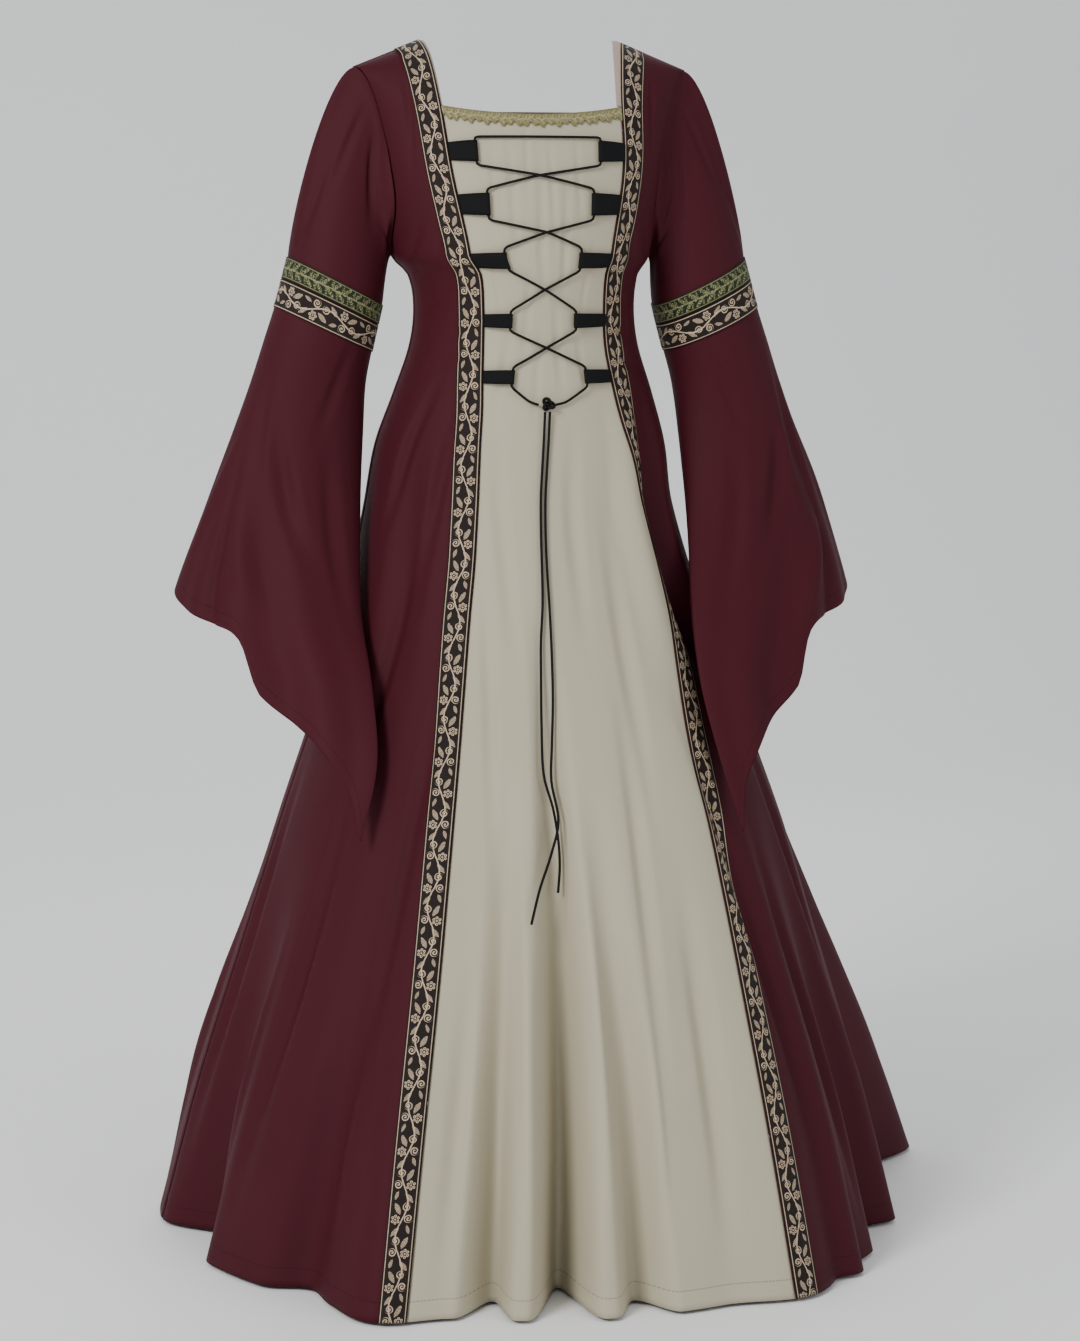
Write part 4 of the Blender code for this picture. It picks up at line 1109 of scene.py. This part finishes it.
def strip_piece(name, node, slot, finish, levels, columns, spot, closed=False, middle=gown_middle):
    """A narrow strip; spot(column, row number) gives its point and place across, and its length is measured."""
    along = {}
    for column in (0, columns // 2):
        run, before = 0.0, None
        for row in range(len(levels)):
            point = spot(column / columns, row)[0]
            run += (point - before).length if before is not None else 0.0
            before = point
            along[column, row] = run

    def place(column, row):
        number = round(row * (len(levels) - 1))
        point, across = spot(column, number)
        return point, (across, along[columns // 2, number])

    piece, flat, area = cloth_piece(name, columns, len(levels) - 1, place, middle,
                                    bpy.context.scene.gown_sizes.trim, closed)
    finish_piece(piece, finish, slot, node)
    declare_cloth(flat, area)
    return piece


def ribbon(side, sign, finish):
    """A vine ribbon from the shoulder to the hem."""
    levels = level_rows(SHOULDER_LEVEL, 230, 60)

    def spot(column, number):
        level = levels[number]
        inner = ribbon_edge(side, level)
        start, width = angle_step(inner, level, 0.00015), angle_step(inner, level, RIBBON_WIDTH + 0.0004)
        angle = inner + sign * (start + width * column)
        point = worn_gown(angle, level) + gown_out(angle, level) * 0.0013
        if level >= SHOULDER_LEVEL:
            point.y -= SEAM_GAP / 2
        return point, column * RIBBON_WIDTH

    strip_piece("vine_ribbon_" + side, "ribbon_" + side, "vine_ribbon", finish, levels, 10, spot)


def facing(side, sign, finish):
    """The strap's facing, rolled out along the neck edge."""
    levels = [spread(NECK_LEVEL + 0.0003, SHOULDER_LEVEL, k / 50) for k in range(51)]

    def spot(column, number):
        level = levels[number]
        inner = ribbon_edge(side, level)
        share = number / (len(levels) - 1)
        width = FACING_WIDTH[side] * spread(0.5, 1.0, share)
        angle = inner - sign * angle_step(inner, level, SEAM_GAP / 2 + width * column)
        point = worn_gown(angle, level)
        if level >= SHOULDER_LEVEL:
            point.y -= SEAM_GAP / 2
        return point, column * width

    strip_piece("neck_facing_" + side, "facing_" + side, "facing_cloth", finish, levels, 6, spot)


def neck_braid(finish):
    """The leafy braid along the front neckline, with its ragged lower edge."""
    steps = 150
    levels = list(range(steps + 1))

    def spot(column, number):
        share = number / steps
        ragged = 0.0016 * math.sin(share * 150.0) + 0.0012 * math.sin(share * 67.0 + 1.0)
        level = spread(BRAID_LEVEL + ragged - 0.0008, NECK_LEVEL, column)
        first, last = front_edges(level)
        gap = angle_step(first, level, 0.0006)
        angle = spread(first + gap, last - gap, share)
        middle = 1.0 - (2.0 * share - 1.0) ** 2
        level -= NECK_DIP * middle * (level - CHEST_LEVEL) / (NECK_LEVEL - CHEST_LEVEL)
        return worn_gown(angle, level) + gown_out(angle, level) * 0.0012, column * BRAID_WIDTH

    strip_piece("leafy_neck_braid", "neck_braid", "neck_braid", finish, levels, 8, spot)


def upper_sleeve(side, sign, finish):
    """The close upper sleeve, from the armhole to the middle of the arm band."""
    columns, cap_rows, band_rows = 110, 56, 7

    def place(column, row):
        number = round(row * (cap_rows + band_rows))
        turn = 360.0 * column
        if number <= cap_rows:
            point = cap(sign, column % 1.0, number / cap_rows)
        else:
            share = (number - cap_rows) / band_rows
            level = spread(band_level(BAND_TOP, turn), band_level(BAND_MIDDLE, turn) + SEAM_GAP / 2, share)
            point = sleeve(sign, turn, level)
        return worn_sleeve(sign, turn, point), (column * SLEEVE_GIRTH, number * 0.0045)

    piece, flat, area = cloth_piece("upper_sleeve_%s_cloth" % side, columns, cap_rows + band_rows, place,
                                    lambda z: sleeve_middle(sign, z), bpy.context.scene.gown_sizes.cloth, True)
    finish_piece(piece, finish, "wine_cloth", "upper_sleeve_" + side)
    declare_cloth(flat, area)


def lower_sleeve(side, sign, finish):
    """The flared lower sleeve, from the middle of the arm band to its pointed hem."""
    columns, rows = 140, 120

    def place(column, row):
        turn = 360.0 * column
        top = band_level(BAND_MIDDLE, turn) - SEAM_GAP / 2
        hem = read(SLEEVE_HEM, turn, "level")
        level = spread(top, hem, row)
        return worn_sleeve(sign, turn, sleeve(sign, turn, level)), (column * 0.6, level - hem)

    piece, flat, area = cloth_piece("lower_sleeve_%s_cloth" % side, columns, rows, place,
                                    lambda z: sleeve_middle(sign, z), bpy.context.scene.gown_sizes.cloth, True)
    finish_piece(piece, finish, "wine_cloth", "lower_sleeve_" + side)
    declare_cloth(flat, area)


def arm_band(name, side, sign, upper, lower, width, slot, finish):
    """One strip of the arm band, round the sleeve."""
    steps = 150
    levels = list(range(steps + 1))

    def spot(column, number):
        turn = 360.0 * (number % steps) / steps
        level = spread(band_level(lower, turn) + 0.0005, band_level(upper, turn) - 0.0005, column)
        return worn_sleeve(sign, turn, sleeve(sign, turn, level), 0.0013), column * width

    strip_piece(name + "_strip_" + side, name + "_" + side, slot, finish, levels, 8, spot, True,
                lambda z: sleeve_middle(sign, z))


def lace_loop(side, sign, number, finish):
    """A black ribbon folded round the lace, from the vine ribbon's edge."""
    row = LOOP_ROWS[number]
    axis = fold_axis(side, sign, row)
    per_metre = angle_step(axis, row.level, 1.0)
    name = "loop_%s_%d" % (side, number + 1)
    steps, edges = 30, 6
    bend = FOLD_RADIUS + LOOP_WALL / 2
    levels = list(range(steps + 1))

    def spot(column, place):
        level = row.level + LOOP_HEIGHT * (column - 0.5) * (1.0 - 0.10 * abs(2.0 * place / steps - 1.0) ** 2)
        start = ribbon_edge(side, level) - sign * LOOP_START * per_metre
        straight = abs(start - axis) / per_metre
        low = row.standoff + LOOP_WALL / 2
        share = place / steps
        if share < 0.35:
            along, off = straight * share / 0.35, low
        elif share > 0.65:
            back = (1.0 - share) / 0.35
            along = straight * back
            off = spread(low + LOOP_WALL + SEAM_GAP, low + 2 * bend, math.sin(back * math.pi / 2))
        else:
            turn = math.radians(spread(-90.0, 90.0, (share - 0.35) / 0.30))
            along, off = straight + bend * math.cos(turn), low + bend * (1.0 + math.sin(turn))
        angle = start - sign * along * per_metre
        return gown(angle, level) + gown_out(angle, level) * off, column * LOOP_HEIGHT

    piece = strip_piece(name + "_ribbon", name, "loop_ribbon", finish, levels, edges, spot)
    piece.modifiers["Thickness"].thickness = LOOP_WALL * 0.8
    piece.modifiers["Thickness"].offset = 0.0


def cord_piece(name, points, finish, cyclic=False, radius=LACE_RADIUS):
    """A braided cord tube along points, ringed one by one so its strands follow it."""
    sides = 12
    mesh = bmesh.new()
    uv_layer = mesh.loops.layers.uv.new("UVMap")
    ring = bmesh.ops.create_circle(mesh, segments=sides, radius=radius)["verts"]
    rest = [vert.co.copy() for vert in ring]
    edges = mesh.edges[:]
    previous = Vector((0.0, 0.0, 1.0))
    frame_turn = None
    rings = []
    for number, point in enumerate(points):
        after = points[(number + 1) % len(points)] if cyclic or number + 1 < len(points) else None
        before = points[number - 1] if cyclic or number else None
        ahead = ((after if after is not None else point) - (before if before is not None else point)).normalized()
        if frame_turn is None:
            frame_turn = previous.rotation_difference(ahead)
        else:
            frame_turn = previous.rotation_difference(ahead) @ frame_turn
        previous = ahead
        if number:
            grown = bmesh.ops.extrude_edge_only(mesh, edges=edges)["geom"]
            edges = [item for item in grown if isinstance(item, bmesh.types.BMEdge)]
            ring = [item for item in grown if isinstance(item, bmesh.types.BMVert)]
        for vert, place in zip(ring, rest):
            vert.co = point + frame_turn @ place
        rings.append(ring)
    if cyclic:
        joins = edges + [edge for edge in mesh.edges if all(vert in rings[0] for vert in edge.verts)]
        bmesh.ops.bridge_loops(mesh, edges=joins)
    else:
        for ends in (rings[0], rings[-1]):
            rim = [edge for edge in mesh.edges if all(vert in ends for vert in edge.verts)]
            bmesh.ops.edgeloop_fill(mesh, edges=rim)
    run, lengths = 0.0, [0.0]
    for first, last in zip(points, points[1:]):
        run += (last - first).length
        lengths.append(run)
    spots = {}
    for number, verts in enumerate(rings):
        for side, vert in enumerate(verts):
            spots[vert] = (side / sides, lengths[number])
    for face in mesh.faces:
        for loop in face.loops:
            across, along = spots[loop.vert]
            if across == 0.0 and any(spots[vert][0] > 0.6 for vert in face.verts):
                across = 1.0
            loop[uv_layer].uv = (across, along)
    bmesh.ops.recalc_face_normals(mesh, faces=mesh.faces[:])
    data = bpy.data.meshes.new(name)
    mesh.to_mesh(data)
    mesh.free()
    data.shade_smooth()
    piece = bpy.data.objects.new(name, data)
    bpy.context.scene.collection.objects.link(piece)
    return piece, run


def lace_and_tails(finish):
    """The criss-cross lace and its two free tails."""
    lace, run = cord_piece("braided_lace", bent_line(lace_route(), LACE_BEND, LACE_STEP), finish)
    finish_piece(lace, finish, "lace_cord", "lace")
    for name, route in TAILS.items():
        points = smooth_line(route, TAIL_STEP)
        tail, run = cord_piece("braided_" + name, points, finish)
        finish_piece(tail, finish, "lace_cord", name)


def lace_knot(finish):
    """The tie of the lace: a cord knotted tight on itself."""
    steps = 90
    middle = on_gown(KNOT)
    width, depth, height = KNOT_SIZE
    cord = 0.0019
    reach = Vector(((width / 2 - cord) / 2.73, (depth / 2 - cord), (height / 2 - cord) / 2.53))
    points = []
    for step in range(steps):
        turn = 2 * math.pi * step / steps
        across = math.sin(turn) + 2 * math.sin(2 * turn)
        rise = math.cos(turn) - 2 * math.cos(2 * turn) + 0.47
        off = -math.sin(3 * turn)
        tipped = Vector((across * reach.x, off * reach.y, rise * reach.z))
        tipped.rotate(Matrix.Rotation(KNOT_TILT, 3, "Y"))
        points.append(middle + tipped)
    piece, run = cord_piece("tied_knot", points, finish, cyclic=True, radius=cord)
    finish_piece(piece, finish, "lace_cord", "lace_knot")


def soft_light(name, place, aim, size, power):
    data = bpy.data.lights.new(name, "AREA")
    data.shape = "RECTANGLE"
    data.size = size
    data.size_y = size
    data.energy = power
    lamp = bpy.data.objects.new(name, data)
    lamp.location = place
    lamp.rotation_euler = (Vector(aim) - Vector(place)).to_track_quat("-Z", "Y").to_euler()
    bpy.context.scene.collection.objects.link(lamp)


def studio_sweep():
    """A pale floor that curves up into the backdrop."""
    mesh = bmesh.new()
    bmesh.ops.create_grid(mesh, x_segments=2, y_segments=60, size=1.0)
    curve, far = 1.5, 3.0
    for vert in mesh.verts:
        run = (vert.co.y + 1.0) / 2.0 * 13.0
        x = vert.co.x * 12.0
        if run < 8.0:
            vert.co = (x, run - 8.0 + far, FLOOR_LEVEL)
        elif run < 8.0 + curve * math.pi / 2:
            turn = (run - 8.0) / curve
            vert.co = (x, far + curve * math.sin(turn), FLOOR_LEVEL + curve * (1.0 - math.cos(turn)))
        else:
            vert.co = (x, far + curve, FLOOR_LEVEL + curve + run - 8.0 - curve * math.pi / 2)
    bmesh.ops.recalc_face_normals(mesh, faces=mesh.faces[:])
    data = bpy.data.meshes.new("studio_sweep")
    mesh.to_mesh(data)
    mesh.free()
    data.shade_smooth()
    finish, tree, shader = new_material("pale_studio", 0.95)
    shader.inputs["Base Color"].default_value = (*bpy.context.scene.gown_colours.studio, 1.0)
    data.materials.append(finish)
    sweep = bpy.data.objects.new("studio_sweep", data)
    bpy.context.scene.collection.objects.link(sweep)


class GownSizes(bpy.types.PropertyGroup):
    """Sizes of the cloth that a user may change."""
    cloth: FloatProperty(name="Cloth", description="Thickness of the gown's cloth", default=0.0010,
                         min=0.0004, max=0.0018, unit="LENGTH")
    trim: FloatProperty(name="Trim", description="Thickness of ribbons and braids", default=0.0009,
                        min=0.0004, max=0.0012, unit="LENGTH")
    crease_strength: FloatProperty(name="Creases", description="Depth of the finer creases", default=1.0,
                                   min=0.0, max=1.5)


class GownColours(bpy.types.PropertyGroup):
    """Colours of the cloth, threads and studio."""
    wine: FloatVectorProperty(name="Wine", description="Dark tone of the wine cloth", subtype="COLOR",
                              default=(0.038, 0.0038, 0.0080))
    wine_light: FloatVectorProperty(name="Wine light", description="Light tone of the wine cloth",
                                    subtype="COLOR", default=(0.062, 0.0062, 0.0126))
    pale: FloatVectorProperty(name="Pale", description="Dark tone of the pale cloth", subtype="COLOR",
                              default=(0.42, 0.38, 0.275))
    pale_light: FloatVectorProperty(name="Pale light", description="Light tone of the pale cloth",
                                    subtype="COLOR", default=(0.50, 0.455, 0.335))
    facing: FloatVectorProperty(name="Facing", description="The straps' facing", subtype="COLOR",
                                default=(0.31, 0.245, 0.205))
    vine_thread: FloatVectorProperty(name="Vine thread", description="Pale thread of the vine ribbon",
                                     subtype="COLOR", default=(0.74, 0.58, 0.42))
    garland_thread: FloatVectorProperty(name="Garland thread", description="Thread of the arm band's leaves",
                                        subtype="COLOR", default=(0.36, 0.36, 0.18))
    braid_thread: FloatVectorProperty(name="Braid thread", description="Thread of the neck braid",
                                      subtype="COLOR", default=(0.62, 0.57, 0.34))
    lace: FloatVectorProperty(name="Lace", description="Black lace and loops", subtype="COLOR",
                              default=(0.0035, 0.0035, 0.0040))
    studio: FloatVectorProperty(name="Studio", description="Floor and backdrop", subtype="COLOR",
                                default=(0.95, 0.95, 0.95))


class GOWN_OT_front(bpy.types.Operator):
    """Make the pale centre front and its leafy neck braid"""
    bl_idname = "gown.front"
    bl_label = "Centre front"

    def execute(self, context):
        colours = context.scene.gown_colours
        finish = cloth_material("pale_cloth", colours.pale, colours.pale_light, 0.04, HEM_STITCH)
        centre_panel("front_panel", front_edges, NECK_DIP, 120, finish, "pale_cloth")
        neck_braid(woven_material("leafy_braid", "braid", BRAID_WIDTH))
        return {"FINISHED"}


class GOWN_OT_wine_panels(bpy.types.Operator):
    """Make the wine centre back and the four side panels"""
    bl_idname = "gown.wine_panels"
    bl_label = "Wine panels"

    def execute(self, context):
        colours = context.scene.gown_colours
        finish = cloth_material("wine_cloth", colours.wine, colours.wine_light, 0.07, HEM_STITCH)
        centre_panel("back_panel", back_edges, 0.0, 90, finish, "wine_cloth")
        for side, sign in SIDES:
            side_panel(side, sign, "front", 76, finish)
            side_panel(side, sign, "back", 60, finish)
        return {"FINISHED"}


class GOWN_OT_sleeves(bpy.types.Operator):
    """Make the upper sleeves and the flared, pointed lower sleeves"""
    bl_idname = "gown.sleeves"
    bl_label = "Sleeves"

    def execute(self, context):
        colours = context.scene.gown_colours
        upper = cloth_material("sleeve_cloth", colours.wine, colours.wine_light, 0.07, None)
        lower = cloth_material("lower_sleeve_cloth", colours.wine, colours.wine_light, 0.07, 0.016)
        for side, sign in SIDES:
            upper_sleeve(side, sign, upper)
            lower_sleeve(side, sign, lower)
        return {"FINISHED"}


class GOWN_OT_ribbons(bpy.types.Operator):
    """Make the vine ribbons and the facings beside them"""
    bl_idname = "gown.ribbons"
    bl_label = "Ribbons and facings"

    def execute(self, context):
        vine_finish = woven_material("vine_ribbon", "vine", RIBBON_WIDTH)
        taupe = tuple(context.scene.gown_colours.facing)
        facing_finish = plain_material("taupe_facing", taupe, 0.0012, 0.8)
        for side, sign in SIDES:
            ribbon(side, sign, vine_finish)
            facing(side, sign, facing_finish)
        return {"FINISHED"}


class GOWN_OT_arm_bands(bpy.types.Operator):
    """Make the garland strip and the vine strip of each arm band"""
    bl_idname = "gown.arm_bands"
    bl_label = "Arm bands"

    def execute(self, context):
        leaves = woven_material("garland_strip", "garland", GARLAND_WIDTH)
        vines = woven_material("vine_strip", "vine", VINE_BAND_WIDTH)
        for side, sign in SIDES:
            arm_band("garland_band", side, sign, BAND_TOP, BAND_MIDDLE, GARLAND_WIDTH, "garland_braid", leaves)
            arm_band("vine_band", side, sign, BAND_MIDDLE, BAND_BOTTOM, VINE_BAND_WIDTH, "vine_ribbon", vines)
        return {"FINISHED"}


class GOWN_OT_lacing(bpy.types.Operator):
    """Make the black loops, the lace, its knot and its two tails"""
    bl_idname = "gown.lacing"
    bl_label = "Lacing"

    def execute(self, context):
        tape = plain_material("black_tape", tuple(context.scene.gown_colours.lace), 0.0010, 0.75)
        for side, sign in SIDES:
            for number in range(len(LOOP_ROWS)):
                lace_loop(side, sign, number, tape)
        braided = cord_material("braided_cord")
        lace_and_tails(braided)
        lace_knot(braided)
        return {"FINISHED"}


class GOWN_OT_stage(bpy.types.Operator):
    """Make the pale studio, its soft lights and the camera"""
    bl_idname = "gown.stage"
    bl_label = "Stage"

    def execute(self, context):
        studio_sweep()
        soft_light("key_light", (-3.1, -2.9, 1.7), (0.0, 0.0, -0.6), 1.5, 165.0)
        soft_light("fill_light", (3.0, -3.0, 0.6), (0.0, 0.0, -0.6), 2.4, 34.0)
        soft_light("back_light", (0.5, 2.4, 2.2), (0.0, 0.0, -0.5), 2.0, 45.0)
        world = bpy.data.worlds.new("soft_room")
        world.use_nodes = True
        world.node_tree.nodes["Background"].inputs["Color"].default_value = (0.9, 0.92, 0.95, 1.0)
        world.node_tree.nodes["Background"].inputs["Strength"].default_value = 0.60
        context.scene.world = world
        data = bpy.data.cameras.new("camera")
        data.sensor_fit = "VERTICAL"
        data.sensor_height = 36.0
        data.lens = CAMERA_LENS
        data.shift_x = CAMERA_SHIFT
        camera = bpy.data.objects.new("camera", data)
        azimuth = math.radians(CAMERA_AZIMUTH)
        camera.location = (CAMERA_DISTANCE * math.sin(azimuth), -CAMERA_DISTANCE * math.cos(azimuth), CAMERA_HEIGHT)
        camera.rotation_euler = (math.radians(90.0 - CAMERA_PITCH), 0.0, azimuth)
        context.scene.collection.objects.link(camera)
        context.scene.camera = camera
        return {"FINISHED"}


OPERATORS = (GOWN_OT_stage, GOWN_OT_front, GOWN_OT_wine_panels, GOWN_OT_sleeves, GOWN_OT_ribbons,
             GOWN_OT_arm_bands, GOWN_OT_lacing)


class GOWN_PT_pieces(bpy.types.Panel):
    """Lists the gown's pieces"""
    bl_label = "Laced gown"
    bl_idname = "GOWN_PT_pieces"
    bl_space_type = "VIEW_3D"
    bl_region_type = "UI"
    bl_category = "Gown"

    def draw(self, context):
        for name in GownSizes.__annotations__:
            self.layout.prop(context.scene.gown_sizes, name)
        for name in GownColours.__annotations__:
            self.layout.prop(context.scene.gown_colours, name)
        for operator in OPERATORS:
            self.layout.operator(operator.bl_idname)


CLASSES = (GownSizes, GownColours) + OPERATORS + (GOWN_PT_pieces,)


def register():
    for made in CLASSES:
        bpy.utils.register_class(made)
    bpy.types.Scene.gown_sizes = PointerProperty(type=GownSizes)
    bpy.types.Scene.gown_colours = PointerProperty(type=GownColours)


def unregister():
    del bpy.types.Scene.gown_colours
    del bpy.types.Scene.gown_sizes
    for made in reversed(CLASSES):
        bpy.utils.unregister_class(made)


def main():
    register()
    bpy.ops.gown.stage()
    bpy.ops.gown.front()
    bpy.ops.gown.wine_panels()
    bpy.ops.gown.sleeves()
    bpy.ops.gown.ribbons()
    bpy.ops.gown.arm_bands()
    bpy.ops.gown.lacing()


if __name__ == "__main__":
    main()
